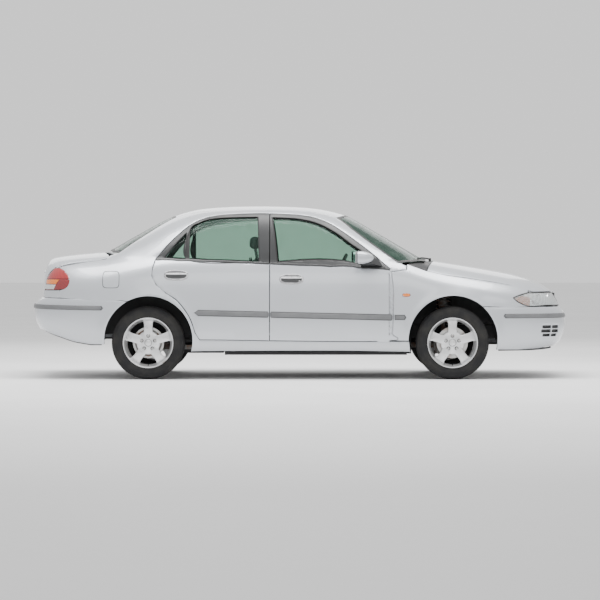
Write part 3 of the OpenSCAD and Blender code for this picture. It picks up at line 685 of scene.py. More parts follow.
@dataclass(frozen=True)
class Steel(Finish):
    """Bare, plated or rusty metal."""
    colour: Rgb = (0.62, 0.62, 0.61)
    rough: float = 0.3
    rust: float = 0.0

    def dress(self, tree: Tree) -> None:
        """Brushed streaks with rust patches where there is any."""
        streak = tree.noise(30, 3, tree.stretch(1, 8, 1))
        patch = tree.noise(14, 5)
        c = self.colour
        base = tree.mix(streak.ramp(0.3, 0.7), tuple(v*0.85 for v in c), c)
        t = patch.ramp(0.62 - self.rust*0.3, 0.78 - self.rust*0.3)*self.rust
        base = tree.mix(t, base, (0.19, 0.085, 0.035))
        tree.set(Base_Color=base, Metallic=1 - t*0.8,
                 Roughness=streak.ramp(0.3, 0.7, self.rough*0.85, self.rough*1.15) + t*0.4)
        tree.bump(patch*0.6 + streak*0.4, 0.0003, 0.3)


@dataclass(frozen=True)
class Glass(Finish):
    """Tinted safety glass with a little dust."""
    tint: Rgb = (0.74, 0.86, 0.80)
    haze: float = 0.03

    def dress(self, tree: Tree) -> None:
        """Clear tinted layer mixed with a gloss reflection."""
        smear = tree.noise(9, 4)
        clear = tree.node("ShaderNodeBsdfTransparent", None, {"Color": self.tint})
        tree.set(Base_Color=tree.mix(smear.ramp(0.3, 0.8), (0.05, 0.075, 0.065), (0.10, 0.13, 0.115)),
                 Roughness=smear.ramp(0.4, 0.9, 0.02, 0.07), Specular_IOR_Level=0.6)
        fres = tree.node("ShaderNodeFresnel", None, {"IOR": 1.5})
        fac = fres*0.9 + smear.ramp(0.45, 0.8, self.haze, self.haze*2.2)
        mixed = tree.node("ShaderNodeMixShader", None, {0: fac, 1: clear, 2: Sock(tree, tree.bsdf.outputs[0])})
        tree.links.new(mixed.out, tree.end.inputs["Surface"])


@dataclass(frozen=True)
class Lens(Finish):
    """Moulded lamp lens with flutes on its inner face."""
    colour: Rgb = (0.9, 0.9, 0.9)
    see: float = 0.6
    flute: float = 300.0

    def dress(self, tree: Tree) -> None:
        """Coloured clear layer mixed with a glossy body, fluted along Y."""
        wave = (tree.axis(1)*self.flute).sin()*(tree.axis(2)*self.flute).sin()
        c = self.colour
        tree.set(Base_Color=tree.mix(wave.ramp(-1, 1), tuple(v*0.72 for v in c), c),
                 Roughness=tree.noise(60, 2).ramp(0.3, 0.7, 0.05, 0.12), Coat_Weight=1.0,
                 Coat_Roughness=0.03, Specular_IOR_Level=0.6)
        tree.bump(wave, 0.0007, 0.5)
        clear = tree.node("ShaderNodeBsdfTransparent", None, {"Color": tuple(min(1, v*1.05) for v in c)})
        fac = tree.node("ShaderNodeFresnel", None, {"IOR": 1.5})*0.8 + (1 - self.see)
        mixed = tree.node("ShaderNodeMixShader", None, {0: fac, 1: clear, 2: Sock(tree, tree.bsdf.outputs[0])})
        tree.links.new(mixed.out, tree.end.inputs["Surface"])


@dataclass(frozen=True)
class Cloth(Finish):
    """Woven seat cloth with sewn panel lines."""
    colour: Rgb = (0.20, 0.21, 0.22)
    thread: float = 2400.0

    def dress(self, tree: Tree) -> None:
        """Crossed threads, melange and soft wear."""
        x, y, z = (tree.axis(i) for i in range(3))
        weave = ((x + z)*self.thread).sin()*0.5 + (y*self.thread).sin()*0.5
        mel = tree.noise(380, 3)
        wear = tree.noise(5, 3)
        c = self.colour
        base = tree.mix(mel.ramp(0.3, 0.7), tuple(v*0.7 for v in c), tuple(v*1.3 for v in c))
        base = tree.mix(wear.ramp(0.4, 0.8, 0, 0.25), base, tuple(v*1.5 for v in c))
        tree.set(Base_Color=base, Roughness=mel.ramp(0.3, 0.7, 0.82, 0.95), Sheen_Weight=0.35,
                 Sheen_Roughness=0.4)
        tree.bump(weave*0.6 + mel*0.4, 0.0006, 0.6)


@dataclass(frozen=True)
class Tread(Finish):
    """Tyre rubber, greyer in random patches, with a fine grain."""
    colour: Rgb = (0.012, 0.012, 0.013)
    hub: float = 1.258

    def dress(self, tree: Tree) -> None:
        """Dusty rubber."""
        blot = tree.noise(11, 5)
        fine = tree.noise(700, 2)
        c = self.colour
        base = tree.mix(blot.ramp(0.35, 0.75), c, (0.028, 0.027, 0.025))
        tree.set(Base_Color=base, Roughness=blot.ramp(0.3, 0.7, 0.62, 0.8), Specular_IOR_Level=0.2)
        tree.bump(fine, 0.0002, 0.6)


@dataclass(frozen=True)
class Lit(Finish):
    """Bright lamp reflector."""
    colour: Rgb = (0.92, 0.92, 0.93)

    def dress(self, tree: Tree) -> None:
        """Vacuum-plated surface with a trace of haze."""
        haze = tree.noise(40, 3)
        tree.set(Base_Color=tree.mix(haze.ramp(0.4, 0.8, 0, 0.15), self.colour, (0.6, 0.6, 0.62)),
                 Metallic=0.95, Roughness=haze.ramp(0.3, 0.7, 0.08, 0.16))


@dataclass(frozen=True)
class Ground(Finish):
    """Pale studio floor."""

    def dress(self, tree: Tree) -> None:
        """Nearly even pale matt surface."""
        blot = tree.noise(0.8, 3)
        tree.set(Base_Color=tree.mix(blot.ramp(0.3, 0.7), (0.80, 0.80, 0.80), (0.84, 0.84, 0.84)),
                 Roughness=blot.ramp(0.3, 0.7, 0.6, 0.7))


PAINT = Paint("silver_lacquer")
MOULD = Plastic("grey_moulding", (0.13, 0.133, 0.138), 0.48, 700, 0.0002)
MOULD_EDGE = Plastic("dark_moulding_edge", (0.055, 0.056, 0.058), 0.5, 700, 0.0002)
FRAME = Plastic("satin_black_frame", (0.022, 0.023, 0.024), 0.38, 500, 0.0001)
RUBBER = Plastic("seal_rubber", (0.012, 0.012, 0.012), 0.7, 600, 0.0002)
BLACK = Plastic("black_plastic", (0.018, 0.018, 0.019), 0.55, 800, 0.0003)
UNDER = Plastic("underbody_coating", (0.022, 0.022, 0.023), 0.85, 240, 0.0008)
TRIM = Plastic("grained_cabin_trim", (0.16, 0.165, 0.17), 0.62, 520, 0.0005)
TRIM_DARK = Plastic("dark_cabin_trim", (0.045, 0.046, 0.05), 0.6, 520, 0.0005)
CARPET = Plastic("cabin_carpet", (0.05, 0.05, 0.052), 0.95, 420, 0.0015, 0.4)
HEADLINING = Plastic("headlining_felt", (0.55, 0.54, 0.51), 0.92, 900, 0.0004, 0.3)
TYRE = Tread("tyre_rubber")
ALLOY = Alloy("wheel_alloy")
CHROME = Steel("bright_plating", (0.50, 0.50, 0.51), 0.2)
STEEL = Steel("turned_steel", (0.50, 0.50, 0.49), 0.36, 0.35)
CAST = Steel("rough_casting", (0.20, 0.20, 0.195), 0.6, 0.6)
ENGINE = Steel("engine_casting", (0.36, 0.36, 0.35), 0.5, 0.2)
PIPE = Steel("exhaust_steel", (0.34, 0.32, 0.30), 0.45, 0.6)
WINDOW = Glass("tinted_glass")
CLEAR = Lens("clear_lens", (0.93, 0.95, 0.95), 0.82, 260)
AMBER = Lens("amber_lens", (0.80, 0.19, 0.005), 0.08, 420)
RED = Lens("red_lens", (0.33, 0.006, 0.008), 0.05, 420)
RED_DARK = Lens("dark_red_lens", (0.24, 0.008, 0.012), 0.14, 420)
WHITE = Lens("white_lens", (0.72, 0.72, 0.72), 0.3, 420)
REFLECTOR = Lit("lamp_reflector")
PLATE = Plastic("blank_plate", (0.72, 0.72, 0.70), 0.4, 500, 0.0001)
SEAT = Cloth("seat_cloth")
FLOOR = Ground("studio_floor")


def coat(obj: bpy.types.Object, *finishes: Finish) -> bpy.types.Object:
    """Gives a piece its finishes, one material slot each.

    Args:
        obj: The piece.
        finishes: Finishes in slot order.

    Returns:
        The same piece.
    """
    obj.data.materials.clear()
    for f in finishes:
        obj.data.materials.append(f.material())
    return obj


def ride(obj: bpy.types.Object, body: str, *nodes: str) -> bpy.types.Object:
    """Hangs a piece on a body and hides the CAD nodes it stands for."""
    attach(obj, body)
    if nodes:
        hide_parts(*nodes)
    LOG.info("%s on %s", obj.name, body)
    return obj


# ---------------------------------------------------------------- mesh helpers

def arc(cx: float, cz: float, r: float, a: float, b: float, n: int = 24) -> list[list[float]]:
    """Points of an arc from angle a to angle b, in degrees."""
    return [[cx + r*math.cos(math.radians(a + (b - a)*i/n)), cz + r*math.sin(math.radians(a + (b - a)*i/n))]
            for i in range(n + 1)]


def oval(cx: float, cz: float, rx: float, rz: float, n: int = 32, power: float = 2.0) -> list[list[float]]:
    """Points of a rounded oval; a higher power makes it squarer."""
    out = []
    for i in range(n):
        c, s = math.cos(2*math.pi*i/n), math.sin(2*math.pi*i/n)
        out.append([cx + rx*math.copysign(abs(c)**(2/power), c), cz + rz*math.copysign(abs(s)**(2/power), s)])
    return out


def grow(line: Sequence[Sequence[float]], by: float) -> list[Points]:
    """Moves an outline outwards, or inwards for a negative distance."""
    p = np.array(line, float)
    a, b = np.roll(p, 1, axis=0), np.roll(p, -1, axis=0)
    area = float((p[:, 0]*b[:, 1] - b[:, 0]*p[:, 1]).sum())
    n1 = np.stack([(p - a)[:, 1], -(p - a)[:, 0]], axis=1)
    n2 = np.stack([(b - p)[:, 1], -(b - p)[:, 0]], axis=1)
    n1 /= np.maximum(np.linalg.norm(n1, axis=1, keepdims=True), 1e-9)
    n2 /= np.maximum(np.linalg.norm(n2, axis=1, keepdims=True), 1e-9)
    n = n1 + n2
    n /= np.maximum((n*n1).sum(axis=1, keepdims=True), 0.35)
    return list(p + n*by*(1 if area > 0 else -1))


def on_side(line: Iterable[Sequence[float]]) -> list[tuple[float, float]]:
    """Places of side-view points on the side chart."""
    return [SIDE.place(float(p[0]), float(p[1])) for p in line]


def at_side(x: float, y: float) -> tuple[float, float]:
    """Place on the side chart of the point at x and side distance y, above the belt."""
    lo, hi = 900.0, SIDE.SPAN
    for _ in range(30):
        m = (lo + hi)/2
        lo, hi = (m, hi) if SIDE.point(np.array([x]), np.array([m]))[0, 1] > y else (lo, m)
    return x, lo


def from_bm(bm: bmesh.types.BMesh, name: str, smooth: bool = True) -> bpy.types.Object:
    """Turns a bmesh in metres into an object with outward faces."""
    bmesh.ops.remove_doubles(bm, verts=bm.verts, dist=1e-6)
    bmesh.ops.recalc_face_normals(bm, faces=bm.faces)
    mesh = bpy.data.meshes.new(name)
    bm.to_mesh(mesh)
    bm.free()
    mesh.polygons.foreach_set("use_smooth", [smooth]*len(mesh.polygons))
    obj = bpy.data.objects.new(name, mesh)
    bpy.context.scene.collection.objects.link(obj)
    if smooth:
        mesh.set_sharp_from_angle(angle=math.radians(38))
    return obj


def solid(name: str, verts: Any, faces: Iterable[Sequence[int]], bevel: float = 0.0,
          segments: int = 2) -> bpy.types.Object:
    """Makes a closed solid from millimetre points, with rounded edges.

    Args:
        name: Object name.
        verts: Points in millimetres.
        faces: Corner lists.
        bevel: Edge radius in millimetres, 0 for none.
        segments: Rows of faces over each edge.

    Returns:
        The object.
    """
    bm = bmesh.new()
    vs = [bm.verts.new(Vector(v)/1000) for v in verts]
    for f in faces:
        bm.faces.new([vs[i] for i in f])
    if bevel:
        edges = [e for e in bm.edges if len(e.link_faces) == 2 and e.calc_face_angle(0) > 0.5]
        bmesh.ops.bevel(bm, geom=edges, offset=bevel/1000, segments=segments, profile=0.7,
                        affect="EDGES", clamp_overlap=True)
    return from_bm(bm, name)


def block(name: str, x: Sequence[float], y: Sequence[float], z: Sequence[float], bevel: float = 4.0
          ) -> bpy.types.Object:
    """Rounded block between limits in millimetres."""
    v = [(a, b, c) for a in x for b in y for c in z]
    f = [(0, 1, 3, 2), (4, 6, 7, 5), (0, 4, 5, 1), (2, 3, 7, 6), (0, 2, 6, 4), (1, 5, 7, 3)]
    return solid(name, v, f, bevel)


def slab(name: str, line: Sequence[Sequence[float]], y0: float, y1: float, bevel: float = 4.0
         ) -> bpy.types.Object:
    """Side outline pushed across the car from y0 to y1, with rounded edges."""
    n = len(line)
    v = [(p[0], y, p[1]) for y in (y0, y1) for p in line]
    f = [tuple(range(n)), tuple(range(2*n - 1, n - 1, -1))]
    f += [(i, (i + 1) % n, n + (i + 1) % n, n + i) for i in range(n)]
    return solid(name, v, f, bevel)


def lathe(name: str, profile: Sequence[Sequence[float]], centre: Sequence[float], n: int = 96,
          axis: str = "y", closed: bool = True) -> bpy.types.Object:
    """Turns a profile round an axis.

    Args:
        name: Object name.
        profile: (radius, distance along the axis) pairs.
        centre: Point of the axis where the distance is 0.
        n: Steps round the axis.
        axis: "x", "y" or "z".
        closed: Whether the profile's ends join each other.

    Returns:
        The object.
    """
    bm = bmesh.new()
    c = np.array(centre, float)
    rows = []
    for r, h in profile:
        row = []
        for i in range(n if r > 1e-6 else 1):
            a = 2*math.pi*i/n
            p = {"y": (r*math.cos(a), h, r*math.sin(a)), "z": (r*math.cos(a), r*math.sin(a), h),
                 "x": (h, r*math.cos(a), r*math.sin(a))}[axis]
            row.append(bm.verts.new(Vector(c + np.array(p))/1000))
        rows.append(row)
    for a, b in zip(rows, rows[1:] + (rows[:1] if closed else [])):
        for i in range(n):
            q = [a[i % len(a)], a[(i + 1) % len(a)], b[(i + 1) % len(b)], b[i % len(b)]]
            q = [v for k, v in enumerate(q) if v not in q[:k]]
            if len(q) > 2:
                bm.faces.new(q)
    return from_bm(bm, name)


def tube(name: str, path: Sequence[Sequence[float]], radius: float | Sequence[float], n: int = 12,
         flat: float = 1.0, closed: bool = False) -> bpy.types.Object:
    """Round or oval bar along a path, with closed ends.

    Args:
        name: Object name.
        path: Points in millimetres.
        radius: Bar radius, or one for each point.
        n: Steps round the bar.
        flat: Height of the section as a share of its width.
        closed: Whether the bar joins itself.

    Returns:
        The object.
    """
    p = np.array(path, float)
    r = np.broadcast_to(np.asarray(radius, float), (len(p),))
    bm = bmesh.new()
    rows = []
    for i in range(len(p)):
        a, b = (p[i - 1], p[(i + 1) % len(p)]) if closed else (p[max(i - 1, 0)], p[min(i + 1, len(p) - 1)])
        t = (b - a)/np.linalg.norm(b - a)
        up = np.array([0, 0, 1.0]) if abs(t[2]) < 0.92 else np.array([1.0, 0, 0])
        s = np.cross(t, up)
        s /= np.linalg.norm(s)
        w = np.cross(s, t)
        rows.append([bm.verts.new(Vector(p[i] + r[i]*(math.cos(2*math.pi*k/n)*s
                    + flat*math.sin(2*math.pi*k/n)*w))/1000) for k in range(n)])
    for a, b in zip(rows, rows[1:] + (rows[:1] if closed else [])):
        for k in range(n):
            bm.faces.new((a[k], a[(k + 1) % n], b[(k + 1) % n], b[k]))
    if not closed:
        bm.faces.new(rows[0][::-1])
        bm.faces.new(rows[-1])
    return from_bm(bm, name)


def flip(obj: bpy.types.Object, name: str | None = None) -> bpy.types.Object:
    """Right-side copy of a left-side piece, turned the right way out.

    Args:
        obj: The left piece.
        name: The copy's name, or None to turn the piece itself over.

    Returns:
        The right piece.
    """
    if name:
        obj = bpy.data.objects.new(name, obj.data.copy())
        obj.data.name = name
        bpy.context.scene.collection.objects.link(obj)
    obj.data.transform(Matrix.Scale(-1, 4, (0, 1, 0)))
    obj.data.flip_normals()
    return obj


def join(name: str, parts: Sequence[bpy.types.Object]) -> bpy.types.Object:
    """Joins pieces into one mesh, keeping their finishes and shading.

    Args:
        name: The joined piece's name.
        parts: The pieces; they are used up.

    Returns:
        The joined object.
    """
    mats: list[bpy.types.Material] = []
    verts, faces, slots, smooth, sharp, base = [], [], [], [], [], 0
    for o in parts:
        m = o.data
        own = [x for x in m.materials]
        for x in own:
            if x not in mats:
                mats.append(x)
        co = np.empty(len(m.vertices)*3)
        m.vertices.foreach_get("co", co)
        verts.append(co.reshape(-1, 3))
        se = {tuple(sorted(e.vertices)) for e in m.edges if e.use_edge_sharp}
        for p in m.polygons:
            faces.append([base + i for i in p.vertices])
            slots.append(mats.index(own[p.material_index]) if own else 0)
            smooth.append(p.use_smooth)
        sharp += [(a + base, b + base) for a, b in se]
        base += len(m.vertices)
    mesh = bpy.data.meshes.new(name)
    mesh.from_pydata(np.vstack(verts).tolist(), [], faces)
    for x in mats:
        mesh.materials.append(x)
    mesh.polygons.foreach_set("material_index", slots)
    mesh.polygons.foreach_set("use_smooth", smooth)
    want = {tuple(sorted(s)) for s in sharp}
    if want:
        mesh.edges.foreach_set("use_edge_sharp", [tuple(sorted(e.vertices)) in want for e in mesh.edges])
    for o in parts:
        old = o.data
        bpy.data.objects.remove(o)
        if old.users == 0:
            bpy.data.meshes.remove(old)
    obj = bpy.data.objects.new(name, mesh)
    bpy.context.scene.collection.objects.link(obj)
    return obj


class Rule(Enum):
    """How copies are laid out by Geometry Nodes."""
    RING = "ring about the Y axis"
    ROW = "row along a line"
    COIL = "coil along a spiral"


class Layout:
    """Geometry Nodes trees for repeated shapes, each made once with named inputs."""

    trees: dict[Rule, bpy.types.NodeTree] = {}

    @classmethod
    def tree(cls, rule: Rule) -> bpy.types.NodeTree:
        """Builds or finds the tree of a rule.

        Args:
            rule: The layout wanted.

        Returns:
            The node group.
        """
        if rule in cls.trees:
            return cls.trees[rule]
        g = bpy.data.node_groups.new(rule.name.lower() + "_layout", "GeometryNodeTree")
        g.interface.new_socket("Geometry", in_out="OUTPUT", socket_type="NodeSocketGeometry")
        g.interface.new_socket("Geometry", in_out="INPUT", socket_type="NodeSocketGeometry")
        kinds = {"Count": "NodeSocketInt", "Centre": "NodeSocketVector", "Radius": "NodeSocketFloat",
                 "Pitch": "NodeSocketVector", "Wire": "NodeSocketFloat", "Turns": "NodeSocketFloat",
                 "Seed": "NodeSocketInt", "Finish": "NodeSocketMaterial"}
        for k, kind in kinds.items():
            g.interface.new_socket(k, in_out="INPUT", socket_type=kind)
        n, link = g.nodes.new, g.links.new
        gi, go = n("NodeGroupInput"), n("NodeGroupOutput")
        if rule is Rule.COIL:
            sp = n("GeometryNodeCurveSpiral")
            sp.inputs["Resolution"].default_value = 26
            link(gi.outputs["Turns"], sp.inputs["Rotations"])
            link(gi.outputs["Radius"], sp.inputs["Start Radius"])
            link(gi.outputs["Radius"], sp.inputs["End Radius"])
            sep = n("ShaderNodeSeparateXYZ")
            link(gi.outputs["Pitch"], sep.inputs[0])
            link(sep.outputs[2], sp.inputs["Height"])
            ring = n("GeometryNodeCurvePrimitiveCircle")
            ring.inputs["Resolution"].default_value = 10
            link(gi.outputs["Wire"], ring.inputs["Radius"])
            mesh = n("GeometryNodeCurveToMesh")
            mesh.inputs["Fill Caps"].default_value = True
            link(sp.outputs[0], mesh.inputs[0])
            link(ring.outputs[0], mesh.inputs[1])
            move = n("GeometryNodeTransform")
            link(mesh.outputs[0], move.inputs["Geometry"])
            link(gi.outputs["Centre"], move.inputs["Translation"])
            last = move.outputs[0]
        else:
            pts = n("GeometryNodePoints")
            link(gi.outputs["Count"], pts.inputs["Count"])
            idx = n("GeometryNodeInputIndex")
            inst = n("GeometryNodeInstanceOnPoints")
            link(pts.outputs[0], inst.inputs["Points"])
            link(gi.outputs["Geometry"], inst.inputs["Instance"])
            if rule is Rule.RING:
                div = n("ShaderNodeMath")
                div.operation = "DIVIDE"
                link(idx.outputs[0], div.inputs[0])
                link(gi.outputs["Count"], div.inputs[1])
                mul = n("ShaderNodeMath")
                mul.operation = "MULTIPLY"
                mul.inputs[1].default_value = 2*math.pi
                link(div.outputs[0], mul.inputs[0])
                xyz = n("ShaderNodeCombineXYZ")
                link(mul.outputs[0], xyz.inputs[1])
                rot = n("FunctionNodeEulerToRotation")
                link(xyz.outputs[0], rot.inputs[0])
                link(rot.outputs[0], inst.inputs["Rotation"])
                link(gi.outputs["Centre"], pts.inputs["Position"])
            else:
                sc = n("ShaderNodeVectorMath")
                sc.operation = "SCALE"
                link(gi.outputs["Pitch"], sc.inputs[0])
                link(idx.outputs[0], sc.inputs["Scale"])
                ad = n("ShaderNodeVectorMath")
                link(sc.outputs[0], ad.inputs[0])
                link(gi.outputs["Centre"], ad.inputs[1])
                link(ad.outputs[0], pts.inputs["Position"])
            last = inst.outputs[0]
        real = n("GeometryNodeRealizeInstances")
        link(last, real.inputs[0])
        mat = n("GeometryNodeSetMaterial")
        link(real.outputs[0], mat.inputs["Geometry"])
        link(gi.outputs["Finish"], mat.inputs["Material"])
        link(mat.outputs[0], go.inputs[0])
        cls.trees[rule] = g
        return g

    @classmethod
    def lay(cls, name: str, rule: Rule, finish: Finish, piece: bpy.types.Object | None = None,
            **given: Any) -> bpy.types.Object:
        """Lays out copies of a piece and returns them as a plain mesh.

        Args:
            name: Name of the result.
            rule: The layout.
            finish: Finish of the copies.
            piece: The piece copied, made about the origin; it is used up.
            **given: Values of the tree's named inputs, lengths in millimetres.

        Returns:
            The plain mesh object.
        """
        g = cls.tree(rule)
        if piece is None:
            piece = bpy.data.objects.new(name + "_seed", bpy.data.meshes.new(name + "_seed"))
            bpy.context.scene.collection.objects.link(piece)
        mod = piece.modifiers.new("layout", "NODES")
        mod.node_group = g
        for item in g.interface.items_tree:
            if item.in_out != "INPUT" or item.name == "Geometry":
                continue
            key = item.identifier
            if item.name == "Finish":
                mod[key] = finish.material()
            elif item.name in given:
                v = given[item.name]
                if item.name in ("Centre", "Pitch"):
                    mod[key] = [c/1000 for c in v]
                elif item.name in ("Radius", "Wire"):
                    mod[key] = v/1000
                else:
                    mod[key] = v
        deps = bpy.context.evaluated_depsgraph_get()
        deps.update()
        mesh = bpy.data.meshes.new_from_object(piece.evaluated_get(deps), depsgraph=deps)
        bpy.data.objects.remove(piece)
        mesh.name = name
        obj = bpy.data.objects.new(name, mesh)
        bpy.context.scene.collection.objects.link(obj)
        obj.data.materials.clear()
        obj.data.materials.append(finish.material())
        return obj


# ---------------------------------------------------------------- outlines, seen from the side

FRONT_EDGE = [[-251,319],[732,317],[756,380],[765,451],[769,600],[769,739],[760,830],[747,908]]
FRAME_F = [[747,908],[700,950],[622,1018],[498,1117],[373,1208],[249,1287],[124,1337],[0,1359],
           [-166,1369],[-251,1372]]
FRAME_R = [[-251,1372],[-348,1374],[-581,1366],[-730,1349],[-830,1320],[-913,1275],[-996,1208],
           [-1095,1109],[-1195,989]]
REAR_EDGE = [[-1195,989],[-1213,928],[-1221,854],[-1184,780],[-1105,714],[-1008,648],[-910,517],
             [-862,385],[-826,327],[-251,321]]
GLASS_F = [[-188,966],[545,932],[530,1035],[415,1125],[290,1217],[149,1289],[0,1325],[-120,1335],[-234,1339]]
GLASS_R = [[-336,966],[-915,982],[-915,1232],[-830,1298],[-730,1328],[-581,1339],[-348,1343]]
GLASS_Q = [[-940,984],[-1133,992],[-940,1210]]
TAIL_LAMP = [[-2040,924],[-1985,908],[-1938,872],[-1916,821],[-1925,775],[-1955,745],[-1999,734]]
HEAD_LAMP = [[2048,606],[1916,599],[1850,612],[1795,640],[1760,673],[1820,697],[1892,716]]
HOOD_SIDE = [[1050,748],[1200,742],[1500,708],[1700,682],[1890,655]]
LID = [[-1655,0],[-1648,200],[-1625,400],[-1588,545],[-1600,590],[-1650,600],[-2060,585]]


@dataclass
class Bodywork:
    """Fixed outer panels and the two lids."""
    depth: float = 18.0
    arch_rear: float = 362.0
    arch_front: float = 366.0

    def sides(self) -> None:
        """Body side, with its rear corner, and fender on each side."""
        side = [[-900,229],[910,225],[900,314],[735,314],[735,882],[880,902],[880,940],[805,966],[680,1057],
                [548,1151],[425,1244],[303,1336],[210,1366],[100,1384],[-200,1400],[-500,1400],[-800,1388],
                [-940,1368],[-1041,1341],[-1150,1283],[-1270,1207],[-1400,1121],[-1505,1044]]
        lamp = on_side([[-1990,909.5],[-1985,908],[-1938,872],[-1916,821],[-1925,775],[-1955,745],[-1990,735.6],
                        [-1990,671.5],[-1464,650],[-1428,643]])
        arch = on_side(arc(-1250, 323, self.arch_rear, 119, -15, 44))
        lid = [at_side(x, y) for x, y in ([-1545,548],[-1588,551],[-1604,594],[-1652,606],[-1820,600],[-1990,592])]
        door = on_side(smooth_line(FRONT_EDGE[::-1], 14) + REAR_EDGE[-2:0:-1]
                       + smooth_line(FRAME_R[::-1], 14) + smooth_line(FRAME_F[::-1], 14)[1:-1])
        door = [p for i, p in enumerate(door) if i == 0 or math.dist(p, door[i - 1]) > 3]
        outer = on_side(side) + lid + lamp + arch[1:-1]
        fender = on_side([[735,318],[897,317]]) + on_side(arc(1263, 323, self.arch_front, 180, 49, 40)) \
            + on_side([[1560,600],[1916,600],[1850,612],[1795,640],[1760,673],[1820,697],[1892,716]]) \
            + [at_side(x, y) for x, y in HOOD_SIDE[::-1]] + [at_side(885, 746)] \
            + on_side([[880.5,903],[735,883]]) + on_side(smooth_line(FRONT_EDGE[::-1], 14)[:-60])
        fender = [p for i, p in enumerate(fender) if math.dist(p, fender[i - 1]) > 2.5]
        top = [REAR.across(587, z) for z in (1012, 1000)] + [REAR.across(578, z) for z in (975, 950, 926)]
        left = [REAR.place(-1990, z) for z in (909.5, 940, 970, 1000, 1016)]
        corner = left + [REAR.place(-2030, 1009)] + top + [REAR.place(-2040, 924)]
        below = [REAR.place(-1990, 672)] + [REAR.across(578, 678), REAR.across(578, 733),
                 REAR.place(-2010, 733.5), REAR.place(-1990, 735.6)]
        for s in Side:
            m = s is Side.RIGHT
            body = Panel(SIDE, [outer, door], depth=self.depth, step=(24, 24), edge=14).build("skin", m)
            parts = [coat(body, PAINT)]
            for line in (corner, below):
                p = Panel(REAR, [line], gap=0.5, depth=self.depth, step=(14, 14), edge=10).build("corner", m)
                parts.append(coat(p, PAINT))
            ride(join("side_skin_" + s.word, parts), "body", "body_side_" + s.word)
            p = Panel(SIDE, [fender], depth=self.depth, step=(22, 22), edge=13).build("fender_skin_" + s.word, m)
            ride(coat(p, PAINT), "body", "fender_" + s.word)

    def roof(self) -> None:
        """Roof skin over the whole width, with its lining."""
        left = [[-1041,1341.6],[-940,1368.6],[-800,1388.6],[-500,1400.6],[-200,1400.6],[100,1384.6],
                [210,1366.6],[303,1336.6],[340,1347],[370,1355.5]]
        half = on_side(left) + [(387, SIDE.SPAN*0.985)]
        other = [(u, 2*SIDE.SPAN - v) for u, v in half[::-1]]
        back = [(-1066, SIDE.SPAN*1.02), (-1066, SIDE.SPAN*0.98)]
        p = Panel(SIDE, [half + other + back], gap=1.5, depth=14, step=(30, 30), edge=16).build("roof_skin")
        lining = Panel(SIDE, [grow(half + other + back, -26)], gap=0, lift=-20, depth=5, step=(60, 60),
                       edge=30).build("headlining")
        ride(coat(p, PAINT), "body", "roof")
        ride(coat(lining, HEADLINING), "body")

    def hood(self) -> None:
        """Hood skin and its inner frame."""
        side = [HOOD.on_top(x, y) for x, y in HOOD_SIDE]
        front = [HOOD.at_height(y, 721) for y in (640, 600, 520, 400, 260, 120)]
        rear = [HOOD.on_top(x, y) for x, y in ([1142,200],[1118,400],[1085,600])]
        half = rear + side + front
        other = [(-u, v) for u, v in half[::-1]]
        p = Panel(HOOD, [half + other], depth=12, step=(26, 26), edge=14).build("hood_skin")
        inner = Panel(HOOD, [grow(half + other, -40)] + [
            [HOOD.on_top(x, y) for x, y in hole] for hole in (
                [[1250,80],[1250,520],[1640,470],[1640,80]], [[1250,-80],[1640,-80],[1640,-470],[1250,-520]])],
            gap=0, lift=-12, depth=10, roll=4, step=(44, 44), edge=26).build("hood_frame")
        ride(coat(p, PAINT), "hood", "hood")
        ride(coat(inner, PAINT), "hood")

    def trunk(self) -> None:
        """Trunk lid skin, plate recess frame, lock and high grip."""
        side = [TRUNK.on_top(x, y) for x, y in LID[1:]]
        down = [TRUNK.at_height(y, z) for y, z in ([578,985],[574,930],[570,850],[570,760],[570,692],
                                                   [300,690],[0,690])]
        half = side + down
        other = [(-u, v) for u, v in half[::-1][1:]]
        line = half + other + [TRUNK.on_top(-1655, 0)]

        def press(pos: Points, nrm: Points) -> Points:
            y, z, x = np.abs(pos[:, 1]), pos[:, 2], pos[:, 0]
            k = np.clip((290 - y)/22, 0, 1)*np.clip((z - 712)/16, 0, 1)*np.clip((868 - z)/16, 0, 1)
            return np.where(x < -2050, -9*k*k*(3 - 2*k), 0)
        p = Panel(TRUNK, [line], depth=12, step=(16, 14), edge=14, shape=press).build("lid_skin")
        coat(p, PAINT)
        plate = Panel(REAR, [[REAR.across(y, z) for y, z in ([255,728],[-255,728],[-255,852],[255,852])]],
                      gap=0, lift=-5.5, depth=2, roll=1, step=(60, 40), edge=24).build("plate")
        bar = Panel(REAR, [[REAR.across(y, z) for y, z in ([330,872],[330,884],[300,896],[-300,896],[-330,884],
                    [-330,872])]], gap=0, lift=9, depth=10, roll=5, step=(40, 20), edge=18).build("bar")
        lock = lathe("lock", [(0, 3), (9, 3), (12, 0), (12, -6), (0, -6)], (0, 0, 0), 32, "x", closed=False)
        lock.data.transform(Matrix.Translation((-2.149, 0, 0.925)) @ Matrix.Rotation(math.pi, 4, "Z"))
        ride(p, "trunk_lid", "trunk_lid")
        ride(join("lid_fittings", [coat(plate, PLATE), coat(bar, PAINT), coat(lock, CHROME)]), "trunk_lid")

    def flap(self) -> None:
        """Fuel flap, ringed by a dark band of painted shade where its shut line is."""
        line = [(-1559 + a, 823 + b) for a, b in oval(0, 0, 67, 65, 36, 5)]
        p = Panel(SIDE, [on_side(line)], gap=0, depth=6, roll=1.5, lift=0.4, step=(18, 18), edge=10)
        # Dark ring in seal rubber round the flap's edge: painted shade standing for the gap of the shut line.
        groove = [on_side([(-1559 + a, 823 + b) for a, b in oval(0, 0, r, r, 36, 5)]) for r in (70.5, 66)]
        g = Panel(SIDE, groove, gap=0, depth=0.4, roll=0.3, lift=0.35, step=(9, 9), edge=9)
        ride(coat(p.build("flap_skin", True), PAINT), "fuel_flap", "fuel_flap")
        ride(coat(g.build("flap_groove", True), RUBBER), "body")

